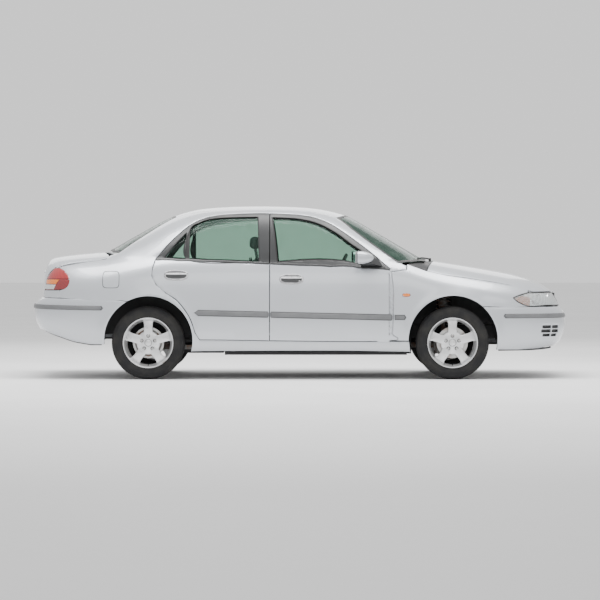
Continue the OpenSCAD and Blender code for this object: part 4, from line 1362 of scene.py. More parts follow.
    def build(self) -> None:
        """Builds all panels."""
        self.sides()
        self.roof()
        self.hood()
        self.trunk()
        self.flap()


@dataclass
class Bumpers:
    """Front and rear bumper covers with strips, slots and lower lips."""
    depth: float = 14.0
    strip: float = 37.0

    def front(self) -> None:
        """Front cover with its slots, strip, grille and plate."""
        left = [FRONT.place(1263 + math.sqrt(366**2 - (z - 323)**2), z) for z in range(596, 244, -22)]
        left = [FRONT.place(1510, 598)] + left
        low = [FRONT.place(1620, 243), FRONT.place(1800, 241), FRONT.place(1980, 250), FRONT.across(600, 262),
               FRONT.across(300, 264)]
        half = left + low
        other = [(2*FRONT.TURN - u, v) for u, v in half[::-1]]
        holes = []
        for z0, z1, a, b in ((420,442,2008,590), (385,408,1998,580), (352,372,2010,590)):
            u0, u1 = FRONT.place(a, (z0 + z1)/2)[0], FRONT.across(b, (z0 + z1)/2)[0]
            um = u0 + (u1 - u0)*0.5
            for p, q in ((u0, um - 7), (um + 9, u1)):
                line = [[p + 6, z0], [q, z0], [q, z1], [p + 4, z1], [p, (z0 + z1)/2]]
                holes += [line, [[2*FRONT.TURN - x, z] for x, z in line[::-1]]]
        mouth = [[FRONT.across(430, z)[0], z] for z in (330, 436)]
        u0 = mouth[0][0]
        holes.append([[u0, 330], [u0 + 14, 314], [2*FRONT.TURN - u0 - 14, 314], [2*FRONT.TURN - u0, 330],
                      [2*FRONT.TURN - u0 - 8, 436], [u0 + 8, 436]])
        p = Panel(FRONT, [half + other] + holes, gap=1.5, depth=self.depth, step=(22, 18), edge=13)
        parts = [coat(p.build("cover"), PAINT)]
        back = Panel(FRONT, [[FRONT.place(1960, 470), FRONT.place(1960, 300), (2*FRONT.TURN - FRONT.place(
            1960, 300)[0], 300), (2*FRONT.TURN - FRONT.place(1960, 470)[0], 470)]], gap=0, lift=-16, depth=4,
            step=(40, 40), edge=30).build("mesh_back")
        parts.append(coat(back, BLACK))
        lip = Panel(FRONT, [[FRONT.place(1640, 246), FRONT.place(1640, 232), FRONT.place(1900, 232),
                    FRONT.across(300, 246), (2*FRONT.TURN - FRONT.across(300, 246)[0], 246),
                    (2*FRONT.TURN - FRONT.place(1900, 232)[0], 232), (2*FRONT.TURN - FRONT.place(1640, 232)[0], 232),
                    (2*FRONT.TURN - FRONT.place(1640, 246)[0], 246)]], gap=0, lift=-3, depth=12, step=(30, 10),
                    edge=26).build("lip")
        parts.append(coat(lip, BLACK))
        plate = Panel(FRONT, [[FRONT.across(y, z) for y, z in ([250,452],[-250,452],[-250,556],[250,556])]],
                      gap=0, lift=9, depth=9, roll=1.2, step=(50, 40), edge=24).build("plate")
        parts.append(coat(plate, PLATE))
        ride(join("front_cover", parts), "body", "front_bumper")
        self.strips(FRONT, 1678, 522, 522, "front_strip")

    def strips(self, chart: EndChart, x0: float, z0: float, z1: float, name: str) -> None:
        """Rubbing strip from the side round each corner of a bumper.

        Args:
            chart: Front or rear chart.
            x0: Distance of the strip's side end from the middle of the car.
            z0: Height at the side end.
            z1: Height at the front or rear end.
            name: Piece name.
        """
        parts = []
        u0 = chart.place(x0*chart.sign, z0)[0]
        u1 = chart.across(330, z1)[0]
        for grow_by, lift, fin in ((0, 5, MOULD_EDGE), (-8, 9, MOULD)):
            h = self.strip/2 + grow_by*0.6
            line = [(u0 - grow_by, z0), (u0 + 12 - grow_by, z0 + h), (u1 + grow_by, z1 + h),
                    (u1 + grow_by, z1 - h), (u0 + 12 - grow_by, z0 - h)]
            for pts in (line, [(2*chart.TURN - u, z) for u, z in line[::-1]]):
                p = Panel(chart, [pts], gap=0, lift=lift, depth=lift + 0.5, roll=3.5, step=(20, 12), edge=11)
                parts.append(coat(p.build("s"), fin))
        ride(join(name, parts), "body")

    def rear(self) -> None:
        """Rear cover with its strip and lower lip."""
        left = [REAR.place(-1428, 642)] + [REAR.place(-1250 - math.sqrt(362**2 - (z - 323)**2), z)
                                           for z in range(628, 290, -24)]
        low = [REAR.place(x, z) for x, z in ([-1612,287],[-1727,287],[-1875,311],[-1974,344],[-2073,377],[-2122,400])]
        low += [REAR.across(600, 408), REAR.across(300, 410)]
        top = [REAR.place(x, z) for x, z in ([-1464,648],[-1700,658],[-1900,666],[-2073,672],[-2135,675])]
        top += [REAR.across(300, 676)]
        half = left + low
        line = half + [(2*REAR.TURN - u, v) for u, v in half[::-1]] + [(2*REAR.TURN - u, v) for u, v in top] \
            + top[::-1]
        p = Panel(REAR, [line], gap=1.5, depth=self.depth, step=(22, 20), edge=13).build("cover")
        lipl = [REAR.place(x, z) for x, z in ([-1640,292],[-1727,291],[-1875,315],[-1974,348],[-2073,381],[-2122,404])]
        lipu = [REAR.place(x, z - 13) for x, z in ([-1640,292],[-1727,291],[-1875,315],[-1974,348],[-2073,381],
                                                   [-2122,404])]
        parts = [coat(p, PAINT)]
        for m in (False, True):
            q = Panel(REAR, [lipl + lipu[::-1]], gap=0, lift=-5, depth=10, step=(20, 8), edge=16).build("lip", m)
            parts.append(coat(q, BLACK))
        ride(join("rear_cover", parts), "body", "rear_bumper")
        self.strips(REAR, 1620, 588, 603, "rear_strip")

    def grille(self) -> None:
        """Grille frame, slats and dark back."""
        def ring(y: float, z0: float, z1: float) -> list[tuple[float, float]]:
            return [FRONT.across(a, z) for a, z in ([y,z0],[-y,z0],[-y + 10,z1],[y - 10,z1])]
        back = Panel(FRONT, [ring(322, 606, 712)], gap=0, lift=-24, depth=4, step=(50, 30), edge=30).build("b")
        frame_ = Panel(FRONT, [ring(329, 602, 716), ring(311, 614, 704)], gap=0.5, depth=16, roll=3,
                       step=(20, 9), edge=14).build("f")
        parts = [coat(back, BLACK), coat(frame_, PAINT)]
        for z in (636, 659, 682):
            p = Panel(FRONT, [ring(314, z - 3.5, z + 3.5)], gap=0, lift=-6, depth=14, roll=1.5, step=(30, 7), edge=18)
            parts.append(coat(p.build("slat"), FRAME))
        bar = block("bar_seed", (2128, 2150), (-2.5, 2.5), (612, 706), 1.2)
        parts.append(Layout.lay("grille_bars", Rule.ROW, BLACK, bar, Count=23, Centre=(-8, -308, 0),
                                Pitch=(0, 28, 0)))
        ride(join("grille_slats", parts), "body", "grille")

    def build(self) -> None:
        """Builds both bumpers and the grille."""
        self.front()
        self.rear()
        self.grille()


@dataclass
class Lamps:
    """Head lamps, tail lamps and side repeaters."""
    rim: float = 7.0

    def head(self) -> None:
        """Clear lens over a housing with bowls, bulbs and the amber part."""
        line = [FRONT.place(x, z) for x, z in smooth_line(HEAD_LAMP, 16)]
        inner = [FRONT.across(y, z) for y, z in ([345,714],[332,700],[332,620],[345,604],[470,603])]
        full = line + inner
        amber = [FRONT.place(x, z) for x, z in ([1782,672],[1800,645],[1850,622],[1908,610],[1912,660],[1908,706],
                                                [1820,688])]
        for s in Side:
            m = s is Side.RIGHT
            lens = Panel(FRONT, [full], gap=0.8, depth=3, roll=2, lift=0.5, step=(18, 14), edge=9)
            ride(coat(lens.build("head_lens_" + s.word, m), CLEAR), "body",
                 *(["headlights"] if s is Side.LEFT else []))
            seal = Panel(FRONT, [full, grow(full, -self.rim)], gap=0, lift=1.2, depth=5, roll=1.5,
                         step=(8, 8), edge=9).build("seal", m)
            case = Panel(FRONT, [grow(full, -4)], gap=0, lift=-46, depth=4, step=(24, 18), edge=14).build("case", m)
            wall = Panel(FRONT, [grow(full, -3), grow(full, -8)], gap=0, lift=-8, depth=40, step=(9, 9),
                         edge=9).build("wall", m)
            turn = Panel(FRONT, [amber], gap=0, lift=-12, depth=5, roll=3, step=(12, 10), edge=8).build("turn", m)
            parts = [coat(seal, RUBBER), coat(case, REFLECTOR), coat(wall, REFLECTOR), coat(turn, AMBER)]
            for x, y, z, r in ((1968, 632, 661, 38), (2062, 520, 660, 44)):
                bowl = lathe("bowl", [(r, 26), (r*0.93, 8), (r*0.72, -6), (r*0.4, -15), (7, -18), (7, -21),
                                      (r*0.42, -18), (r*0.75, -9), (r, 6), (r*1.04, 26)], (0, 0, 0), 40, "x")
                bulb = lathe("bulb", [(0, 14), (5, 11), (7, 4), (6, -16), (0, -16)], (0, 0, 0), 20, "x", False)
                for o, f in ((bowl, REFLECTOR), (bulb, AMBER if r < 40 else CHROME)):
                    yaw = math.radians(38 if x < 2000 else 18)
                    o.data.transform(Matrix.Translation((x/1000 - 0.012, y/1000, z/1000))
                                     @ Matrix.Rotation(yaw, 4, "Z"))
                    if m:
                        flip(o)
                    parts.append(coat(o, f))
            ride(join("head_lamp_inner_" + s.word, parts), "body")

    def tail(self) -> None:
        """Tail lamps in four coloured fields with a dark surround."""
        line = [REAR.place(x, z) for x, z in smooth_line(TAIL_LAMP, 14)]
        full = line + [REAR.across(570, 735), REAR.across(570, 923)]
        cut = 826.0

        def field(z0: float, z1: float, y0: float, y1: float | None) -> list[tuple[float, float]]:
            zs = np.linspace(z0, z1, 9)
            right = [REAR.across(y0, z) for z in (z0, z1)]
            if y1 is not None:
                return right + [REAR.across(y1, z) for z in (z1, z0)]
            edge = np.array([p for p in smooth_line(TAIL_LAMP, 6)])
            left = []
            for z in zs[::-1]:
                k = np.interp(z, edge[::-1, 1], edge[::-1, 0])
                left.append(REAR.place(k + 11, z))
            return right + left
        for s in Side:
            m = s is Side.RIGHT
            base = Panel(REAR, [full], gap=0.8, depth=26, lift=-2, roll=2, step=(16, 14), edge=9).build("b", m)
            parts = [coat(base, RED_DARK)]
            for z0, z1, y0, y1, fin in ((cut + 4, 915, 576, None, RED), (742, cut - 4, 700, None, RED_DARK),
                                        (742, 780, 576, 694, WHITE), (786, cut - 4, 576, 694, AMBER)):
                q = Panel(REAR, [field(z0, z1, y0, y1)], gap=0, lift=1.6, depth=3, roll=2.0, step=(14, 12),
                          edge=9).build("f", m)
                parts.append(coat(q, fin))
            seal = Panel(REAR, [grow(full, 1.5), grow(full, -3.5)], gap=0, lift=0.3, depth=4, roll=1, step=(5, 5),
                         edge=9).build("seal", m)
            parts.append(coat(seal, RUBBER))
            ride(join("tail_lamp_" + s.word, parts), "body", *(["tail_lights"] if s is Side.LEFT else []))

    def repeaters(self) -> None:
        """Side repeaters and the short strips on the fenders."""
        parts = []
        for m in (False, True):
            a = Panel(SIDE, [on_side(oval(876, 697, 31, 12.5, 28, 2.6))], gap=0, lift=3.5, depth=4, roll=3,
                      step=(12, 8), edge=6).build("r", m)
            b = Panel(SIDE, [on_side(oval(876, 697, 34, 15, 28, 2.6))], gap=0, lift=0.8, depth=1.5, roll=0.8,
                      step=(12, 8), edge=6).build("r", m)
            parts += [coat(a, AMBER), coat(b, RUBBER)]
            for by, lift, fin in ((0, 6, MOULD_EDGE), (-8, 9.5, MOULD)):
                line = [[778 - by*0.6, 534.5 + by],[862 + by,534.5 + by],[876 + by,512],[862 + by,490 - by],
                        [778 - by*0.6,490.5 - by]]
                q = Panel(SIDE, [on_side(line)], gap=0, lift=lift, depth=lift + 0.4, roll=3.5, step=(14, 10), edge=8)
                parts.append(coat(q.build("s", m), fin))
        ride(join("fender_strips", parts), "body", "fender_trim")

    def build(self) -> None:
        """Builds every lamp."""
        self.head()
        self.tail()
        self.repeaters()


@dataclass
class Door:
    """One door: skin, window frame, belt seal, glass, handle, strip and inner card."""
    side: Side
    front: bool

    @property
    def word(self) -> str:
        """Name stem of the door's nodes."""
        return ("front" if self.front else "rear") + "_%s_" + self.side.word

    def put(self, panel: Panel, finish: Finish, name: str = "p") -> bpy.types.Object:
        """Builds a panel of this door on its side and coats it."""
        return coat(panel.build(name, self.side is Side.RIGHT), finish)

    def skin(self) -> None:
        """Outer skin, frame, seals and card."""
        if self.front:
            belt = [[747,908],[500,922],[250,934],[0,945],[-251,956]]
            low = smooth_line(FRONT_EDGE, 14)[1:-1]
            low = [[-251,319]] + [p for p in low if p[0] > -240] + belt
            frame_ = belt[::-1] + smooth_line(FRAME_F, 14)[1:]
            holes = [smooth_line(GLASS_F[1:], 14) + [GLASS_F[0]]]
            card = [[-172,345],[725,345],[745,600],[735,885],[-172,930]]
        else:
            belt = [[-251,956],[-500,966],[-800,976],[-1000,983],[-1195,989]]
            low = belt + smooth_line(REAR_EDGE[:-1], 14)[1:] + [[-251,319]]
            frame_ = belt[::-1] + smooth_line(FRAME_R, 14)[:-1]
            holes = [smooth_line(GLASS_R, 14)[:-1] + [GLASS_R[-1]], GLASS_Q]
            card = [[-312,345],[-800,345],[-840,420],[-905,560],[-1000,680],[-1100,760],[-1150,820],[-1150,945],
                    [-312,935]]
        parts = [self.put(Panel(SIDE, [on_side(low)], depth=20, step=(22, 22), edge=13), PAINT)]
        holes = [on_side(h) for h in holes]
        parts.append(self.put(Panel(SIDE, [on_side(frame_)] + holes, depth=22, roll=1.5, lift=-0.5, step=(16, 16),
                                    edge=10), FRAME))
        for h in holes:
            ring = Panel(SIDE, [grow(h, 3.4), grow(h, -5)], gap=0, lift=1.2, depth=9, roll=1.2, step=(7, 7), edge=10)
            parts.append(self.put(ring, RUBBER))
        up, dn = [[p[0], p[1] + 9] for p in belt], [[p[0], p[1] - 9] for p in belt]
        xs = sorted([belt[0][0], belt[-1][0]])
        trim = lambda q: [[min(max(a, xs[0] + 5), xs[1] - 5), b] for a, b in q]
        seal = Panel(SIDE, [on_side(trim(up) + trim(dn[::-1]))], gap=0, lift=3.5, depth=6, roll=2.5, step=(20, 7),
                edge=14)
        parts.append(self.put(seal, FRAME))
        parts.append(self.put(Panel(SIDE, [on_side(card)], gap=0, lift=-21, depth=64, roll=9, step=(40, 40),
                                    edge=30), TRIM))
        x0 = -40 if self.front else -820
        rest = slab("rest", [[x0, 700],[x0 + 330, 712],[x0 + 340, 742],[x0 + 320, 752],[x0, 742]], 690, 770, 10)
        pull = tube("pull", [(x0 + 120, 752, 830),(x0 + 150, 742, 832),(x0 + 230, 742, 834),(x0 + 260, 752, 834)],
                7, 10)
        for o, f in ((rest, TRIM_DARK), (pull, CHROME)):
            if self.side is Side.RIGHT:
                flip(o)
            parts.append(coat(o, f))
        ride(join((self.word % "door") + "_skin", parts), self.word % "door", self.word % "door")

    def glass(self) -> None:
        """Window panes, with the quarter light's own seal in the rear door."""
        shapes = [grow(GLASS_F, 7)] if self.front else [grow(GLASS_R, 6), grow(GLASS_Q, 5)]
        parts = [self.put(Panel(SIDE, [on_side(q)], gap=0, lift=-8, depth=4, roll=0.6, step=(40, 40), edge=24), WINDOW)
                 for q in shapes]
        if not self.front:
            bar = [[-915,982],[-940,984],[-940,1216],[-915,1238]]
            parts.append(self.put(Panel(SIDE, [on_side(grow(bar, 2))], gap=0, lift=-2, depth=12, roll=2, step=(9, 20),
                                        edge=14), RUBBER))
        ride(join((self.word % "glass") + "_pane", parts), self.word % "door", self.word % "glass")

    def fittings(self) -> None:
        """Pull handle on its pad, key lock and rubbing strip."""
        hx, hz = (-70, 826) if self.front else (-1020, 858)
        m = self.side is Side.RIGHT
        parts = [self.put(Panel(SIDE, [on_side(oval(hx, hz, 100, 43, 44, 2.6))], gap=0, lift=2.5, depth=3.2, roll=2,
                                step=(14, 12), edge=9), CHROME),
                 self.put(Panel(SIDE, [on_side(oval(hx, hz + 2, 87, 30, 40, 2.8))], gap=0, lift=3.0, depth=0.8,
                                roll=0.5, step=(14, 12), edge=9), MOULD_EDGE)]
        y = float(body_width(hx, hz))
        n = 17
        path = []
        for i in range(n):
            t = i/(n - 1)*2 - 1
            path.append((hx + 84*t, y + 3.5 + 7.5*(1 - t**4), hz + 12))
        grip = tube("grip", path, [9 + 3.5*math.sqrt(max(0, 1 - (i/(n - 1)*2 - 1)**2)) for i in range(n)], 16, 0.75)
        grip.data.transform(Matrix.Translation((0, -(y + 4)/1000, 0)))
        grip.data.transform(Matrix.Diagonal((1, 0.62, 1, 1)))
        grip.data.transform(Matrix.Translation((0, (y + 4)/1000, 0)))
        coat(grip, CHROME)
        if m:
            flip(grip)
        parts.append(grip)
        if self.front:
            key = lathe("key", [(0, 3), (8, 3), (11, 1), (11, -1), (0, -1)], (hx + 66, y + 3, hz - 18), 28, "y", False)
            parts.append(coat(flip(key) if m else key, CHROME))
        x0, x1 = (-244, 760) if self.front else (-872, -258)
        for by, lift, fin in ((0, 7, MOULD_EDGE), (-7.5, 10.5, MOULD)):
            tip = 34 if not self.front else 6
            ends = [(x0 - by*0.5, 0), (x0 + tip, 26 + by), (x1 - 8, 26 + by), (x1 + by*0.5, 14),
                    (x1 + by*0.5, -14), (x1 - 8, -26 - by), (x0 + tip, -26 - by)]
            if self.front:
                ends[0] = (x0 - by*0.5, 14)
                ends.append((x0 - by*0.5, -14))
            line = []
            for a, b in resample(ends, 60):
                line.append((a, 550 - (a + 872)*0.0236 + b))
            parts.append(self.put(Panel(SIDE, [on_side(line)], gap=0, lift=lift, depth=lift + 0.4, roll=4,
                                        step=(26, 10), edge=15), fin))
        ride(join((self.word % "trim") + "_fittings", parts), self.word % "door", self.word % "trim")

    def mirror(self) -> None:
        """Mirror shell in body colour, glass, black back and foot."""
        m = self.side is Side.RIGHT
        bm = bmesh.new()
        nu, nv = 36, 20
        rows = []
        for j in range(1, nv):
            ph = math.pi*j/nv
            row = []
            for i in range(nu):
                th = 2*math.pi*i/nu
                c, s = math.cos(th), math.sin(th)
                y = 62*math.copysign(abs(math.sin(ph)*c)**0.74, c)
                z = 62*math.copysign(abs(math.sin(ph)*s)**0.78, s)
                x = 78*math.cos(ph)
                k = (x + 78)/156
                row.append(bm.verts.new(Vector((516 + max(x, -48)*1.1 + y*-0.12, 930 + y*(1.12 - 0.42*k),
                                                1008 + z*(1.0 - 0.36*k) - 6*k))/1000))
            rows.append(row)
        ends = [bm.verts.new(Vector((516 + 86, 930, 1002))/1000), bm.verts.new(Vector((516 - 53, 930, 1008))/1000)]
        for a, b in zip(rows, rows[1:]):
            for i in range(nu):
                bm.faces.new((a[i], a[(i + 1) % nu], b[(i + 1) % nu], b[i]))
        for row, e in ((rows[0], ends[0]), (rows[-1], ends[1])):
            for i in range(nu):
                bm.faces.new((row[i], row[(i + 1) % nu], e))
        shell = coat(from_bm(bm, "shell"), PAINT, MOULD_EDGE)
        for p in shell.data.polygons:
            p.material_index = 1 if p.center.x < 0.476 else 0
        pane = slab("pane", [[455.5, 962],[455.5, 1052],[460, 1056],[460, 958]], 872, 992, 2)
        foot = solid("foot", [(x, y, z) for x, y, z in (
            (500,790,930),(690,786,926),(640,786,1000),(520,790,1050),(512,884,962),(590,880,958),(575,884,1000),
            (515,888,1010))], [(0,1,2,3),(7,6,5,4),(0,4,5,1),(1,5,6,2),(2,6,7,3),(3,7,4,0)], 12, 4)
        parts = [shell, coat(pane, REFLECTOR), coat(foot, FRAME)]
        if m:
            parts = [flip(o) for o in parts]
        ride(join("mirror_%s_shell" % self.side.word, parts), self.word % "door", "mirror_" + self.side.word)

    def build(self) -> None:
        """Builds the whole door."""
        self.skin()
        self.glass()
        self.fittings()
        if self.front:
            self.mirror()


@dataclass
class Glazing:
    """Windshield, rear window, cowl and wipers."""

    def build(self) -> None:
        """Builds the fixed glass with its dark borders, the cowl and the wipers."""
        top = [[805,966],[680,1057],[548,1151],[425,1244],[303,1336],[340,1347],[370,1355.5]]
        half = [(1064, SIDE.SPAN*0.985)] + on_side([[1040,973],[940,969],[840,962]]) + on_side(top) \
            + [(387, SIDE.SPAN*0.985)]
        self.screen("windshield", half, 26)
        back = on_side([[-1041,1341],[-1150,1283],[-1270,1207],[-1400,1121],[-1505,1044]])
        half = [(-1073, SIDE.SPAN*0.985)] + back + [(-1570, SIDE.place(-1570, 1050)[1]), (-1614, SIDE.SPAN*0.985)]
        self.screen("rear_window", half, 24)
        self.cowl()

    def screen(self, node: str, half: list[tuple[float, float]], band: float) -> None:
        """One fixed screen with a black border."""
        line = half + [(u, 2*SIDE.SPAN - v) for u, v in half[::-1]]
        pane = Panel(SIDE, [line], gap=1.2, lift=-1, depth=5, roll=1, step=(34, 34), edge=18).build("pane")
        edge = Panel(SIDE, [grow(line, -1.5), grow(line, -band)], gap=0, lift=-0.6, depth=0.8, roll=0.3, step=(12, 12),
                     edge=14).build("edge")
        ride(join(node + "_screen", [coat(pane, WINDOW), coat(edge, BLACK)]), "body", node)
        if node == "rear_window":
            wires = []
            for x in range(-1180, -1520, -34):
                z = float(peak(x))
                pts = []
                for y in np.linspace(-470, 470, 25):
                    lo, hi = 880.0, z
                    for _ in range(22):
                        mid = (lo + hi)/2
                        lo, hi = (mid, hi) if float(body_width(x, mid)) > abs(y) else (lo, mid)
                    pts.append((x, y, lo - 7.2))
                wires.append(coat(tube("wire", pts, 0.9, 5), PIPE))
            ride(join("rear_window_wires", wires), "body")

    def cowl(self) -> None:
        """Slotted cowl cover and both wipers."""
        xs = np.linspace(886, 1150, 12)
        ys = np.linspace(-736, 736, 49)
        bm = bmesh.new()
        grid = []
        for x in xs:
            row = []
            for y in ys:
                back = np.interp(abs(y), [120, 300, 500, 650, 736], [1046, 1024, 979, 919, 890])
                fore = np.interp(abs(y), [0, 200, 400, 600, 736], [1142, 1134, 1110, 1077, 1052])
                xx = back + (fore - back)*(x - 886)/264
                lo, hi = 600.0, float(peak(xx))
                for _ in range(20):
                    mid = (lo + hi)/2
                    lo, hi = (mid, hi) if float(lower_width(xx, mid)) > abs(y) else (lo, mid)
                row.append(bm.verts.new(Vector((xx, y, lo - 15 - 2.0*(int((y + 736)/16) % 2)))/1000))
            grid.append(row)
        for r, q in zip(grid, grid[1:]):
            for i in range(len(ys) - 1):
                bm.faces.new((r[i], q[i], q[i + 1], r[i + 1]))
        cover = coat(from_bm(bm, "cover"), BLACK)
        mod = cover.modifiers.new("wall", "SOLIDIFY")
        mod.thickness, mod.offset = 0.006, -1
        slot = block("slat", (0, 64), (-3, 3), (0, 5), 1.5)
        slats = Layout.lay("cowl_slats", Rule.ROW, BLACK, slot, Count=34, Centre=(1062, -330, 957), Pitch=(0, 20, 0))
        ride(cover, "body", "cowl")
        ride(slats, "body")
        parts = []
        for pts in ([(1105,-40,990),(1062,-150,998),(1040,-260,1001),(1010,-400,1003),(975,-560,997)],
                    [(1070,540,978),(1060,400,994),(1060,250,998),(1070,80,997)]):
            line = [tuple(p) for p in smooth_line(pts, 18)]
            n = len(line)
            arm = tube("arm", line[:int(n*0.62)], [6.5 - 3*i/n for i in range(int(n*0.62))], 10)
            blade = tube("blade", [(x + 2, y, z - 2.5) for x, y, z in line[int(n*0.1):]], 3.6, 8, 1.5)
            cap = lathe("cap", [(0, 8), (9, 8), (11, 4), (11, -30), (0, -30)], pts[0], 24, "z", False)
            parts += [coat(arm, FRAME), coat(blade, RUBBER), coat(cap, BLACK)]
        ride(join("wiper_pair", parts), "body", "wipers")


@dataclass
class Wheel:
    """Alloy wheel with five spokes, tyre, nuts and brake disc."""
    side: Side
    front: bool
    radius: float = 302.0
    rim: float = 206.0
    half: float = 97.5
    track: float = 732.0

    def build(self) -> None:
        """Builds the tyre, rim and what turns with them."""
        word = "wheel_%s_%s" % ("front" if self.front else "rear", self.side.word)
        x = 1258 if self.front else -1252
        parts = [self.tyre(), self.blocks()]
        tyre = join("tyre_" + word, parts)
        rim = join("alloy_" + word, self.alloy())
        for o in (tyre, rim):
            if self.side is Side.RIGHT:
                flip(o)
            o.data.transform(Matrix.Translation((x/1000, self.side.value*self.track/1000, self.radius/1000)))
        end = word[6:]
        ride(tyre, word, "tyre_" + end)
        ride(rim, word, "rim_" + end)

    def tyre(self) -> bpy.types.Object:
        """Carcass with bead, ribs on the wall, shoulder and tread grooves."""
        r, f, h = self.radius, self.rim, self.half
        out = [(f + 1, h*0.74), (f + 1, h*0.88), (f + 5, h*0.93), (f + 10, h*0.945), (f + 12, h*0.93),
               (f + 18, h*0.955), (f + 34, h*0.985), (f + 45, h), (f + 47, h*1.004), (f + 49, h),
               (r - 40, h*0.975), (r - 36, h*0.985), (r - 34, h*0.965), (r - 26, h*0.925), (r - 14, h*0.85),
               (r - 7, h*0.78), (r - 2.5, h*0.7)]
        tread = []
        for c in (0.62, 0.31, 0.0, -0.31, -0.62):
            g = 3.4
            tread += [(r - 1.4 - 1.2*abs(c), h*c + g + 6), (r - 1.0 - 1.2*abs(c), h*c + g),
                      (r - 8.5, h*c + g - 1), (r - 8.5, h*c - g + 1), (r - 1.0 - 1.2*abs(c), h*c - g)]
        line = out + tread + [(a, -b) for a, b in out[::-1]]
        return coat(lathe("tyre", line, (0, 0, 0), 120), TYRE)

    def blocks(self) -> bpy.types.Object:
        """Shoulder tread blocks laid round both edges by Geometry Nodes."""
        r, h = self.radius, self.half
        seed = join("seed", [block("a", (-7.6, 7.6), (s*h*0.66 - 8, s*h*0.66 + 9), (r - 9, r - 0.9 - 1.2), 1.6)
                             for s in (1, -1)])
        return Layout.lay("tread", Rule.RING, TYRE, seed, Count=78, Centre=(0, 0, 0))

    def alloy(self) -> list[bpy.types.Object]:
        """Barrel, spokes, hub, nuts, cap, valve, weight, disc, bell and vents or drum, with black rings of painted
        shade round the cap and the nuts.
        """
        f, h = self.rim, self.half
        barrel = [(f + 1.5, h*0.80), (f + 3, h*0.87), (f + 1.5, h*0.905), (f - 4, h*0.90), (f - 9, h*0.84),
                  (f - 13, h*0.70), (f - 17, h*0.58), (f - 24, h*0.50), (f - 27, h*0.2), (f - 27, -h*0.5),
                  (f - 12, -h*0.86), (f - 2, -h*0.9), (f + 1, -h*0.86), (f - 4, -h*0.78), (f - 18, -h*0.4),
                  (f - 20, h*0.3), (f - 12, h*0.6), (f - 4, h*0.76)]
        parts = [coat(lathe("barrel", barrel, (0, 0, 0), 120), ALLOY)]
        face = h*0.60
        spoke = self.spoke(face)
        parts.append(Layout.lay("spokes", Rule.RING, ALLOY, spoke, Count=5, Centre=(0, 0, 0)))
        hub = [(0, face + 2), (30, face + 2), (34, face + 1), (36, face - 2), (84, face - 3), (94, face - 8),
               (98, face - 20), (92, face - 30), (0, face - 30)]
        parts.append(coat(lathe("hub", hub, (0, 0, 0), 80, closed=False), ALLOY))
        cap = [(0, face + 8), (12, face + 7.6), (22, face + 6), (25, face + 3.5), (26, face), (0, face)]
        parts.append(coat(lathe("cap", cap, (0, 0, 0), 48, closed=False), ALLOY))
        # Black ring round the cap: painted shade standing for the groove between cap and hub.
        groove = [(27.5, face + 2.3), (30.5, face + 2.3), (30.5, face - 1), (27.5, face - 1)]
        parts.append(coat(lathe("groove", groove, (0, 0, 0), 48), BLACK))
        # Black rings round the nuts: painted shade standing for the recesses the nuts sit in.
        well = lathe("well", [(11.2, face - 1), (15.5, face - 1.2), (15.5, face - 2.6), (0.0, face - 2.8),
                              (0.0, face - 1.9), (11.2, face - 1.9)], (0, 0, 57.15), 28, closed=False)
        nut = lathe("nut", [(0, face + 6), (5.5, face + 6), (9, face + 4.2), (10.4, face), (10.4, face - 3), (0,
                face - 3)],
                    (0, 0, 57.15), 6, closed=False)
        nut.data.polygons.foreach_set("use_smooth", [False]*len(nut.data.polygons))
        parts.append(Layout.lay("wells", Rule.RING, BLACK, well, Count=5, Centre=(0, 0, 0)))
        parts.append(Layout.lay("nuts", Rule.RING, STEEL, nut, Count=5, Centre=(0, 0, 0)))
        disc = [(30, 18), (128, 18), (130, 16), (130, 0), (128, -2), (30, -2)]
        parts.append(coat(lathe("disc", disc, (0, 0, 0), 96), STEEL))
        bell = [(30, 30), (72, 30), (76, 26), (78, 17), (30, 17)]
        parts.append(coat(lathe("bell", bell, (0, 0, 0), 64), CAST))
        if self.front:
            vent = block("vent", (-1.5, 1.5), (5, 11), (96, 127.5), 0)
            parts.append(Layout.lay("vents", Rule.RING, CAST, vent, Count=36, Centre=(0, 0, 0)))
        else:
            drum = [(30, 26), (104, 26), (112, 22), (114, 0), (114, -40), (108, -44), (30, -44)]
            parts.append(coat(lathe("drum", drum, (0, 0, 0), 80), CAST))
        valve = tube("valve", [(0, face - 6, -(f - 28)), (0, face + 1, -(f - 24)), (0, face + 8, -(f - 19))], 3.4, 10)
        parts.append(coat(valve, RUBBER))
        weight = block("weight", (-16, 16), (h*0.895, h*0.93), (f - 3.5, f + 0.5), 1)
        weight.data.transform(Matrix.Rotation(math.radians(140), 4, "Y"))
        parts.append(coat(weight, PIPE))
        return parts

    def spoke(self, face: float) -> bpy.types.Object:
        """One broad spoke, hollowed behind and flared into the rim."""
        rows = []
        bm = bmesh.new()
        for r, w, y, t in ((50, 30, face - 3, 26), (72, 35, face - 2, 26), (96, 36, face - 0.5, 24),
                           (120, 35.5, face, 22), (144, 35.5, face - 1.5, 20), (164, 37, face - 4, 19),
                           (176, 41, face - 7, 17), (184, 48, face - 10, 14), (190, 54, face - 13, 10)):
            sec = [(-w, y - t), (-w - 0.5, y - t*0.5), (-w + 0.4, y - 4), (-w + 3.5, y - 1), (-w + 8, y), (-w*0.45,
                    y + 0.8),
                   (0, y + 1.2), (w*0.45, y + 0.8), (w - 8, y), (w - 3.5, y - 1), (w - 0.4, y - 4), (w + 0.5,
                           y - t*0.5),
                   (w, y - t)]
            rows.append([bm.verts.new(Vector((a, b, math.sqrt(max(r*r - a*a*0.6, 1))))/1000) for a, b in sec])
        n = len(rows[0])
        for p, q in zip(rows, rows[1:]):
            for i in range(n):
                bm.faces.new((p[i], p[(i + 1) % n], q[(i + 1) % n], q[i]))
        bm.faces.new(rows[0][::-1])
        bm.faces.new(rows[-1])
        return from_bm(bm, "spoke")


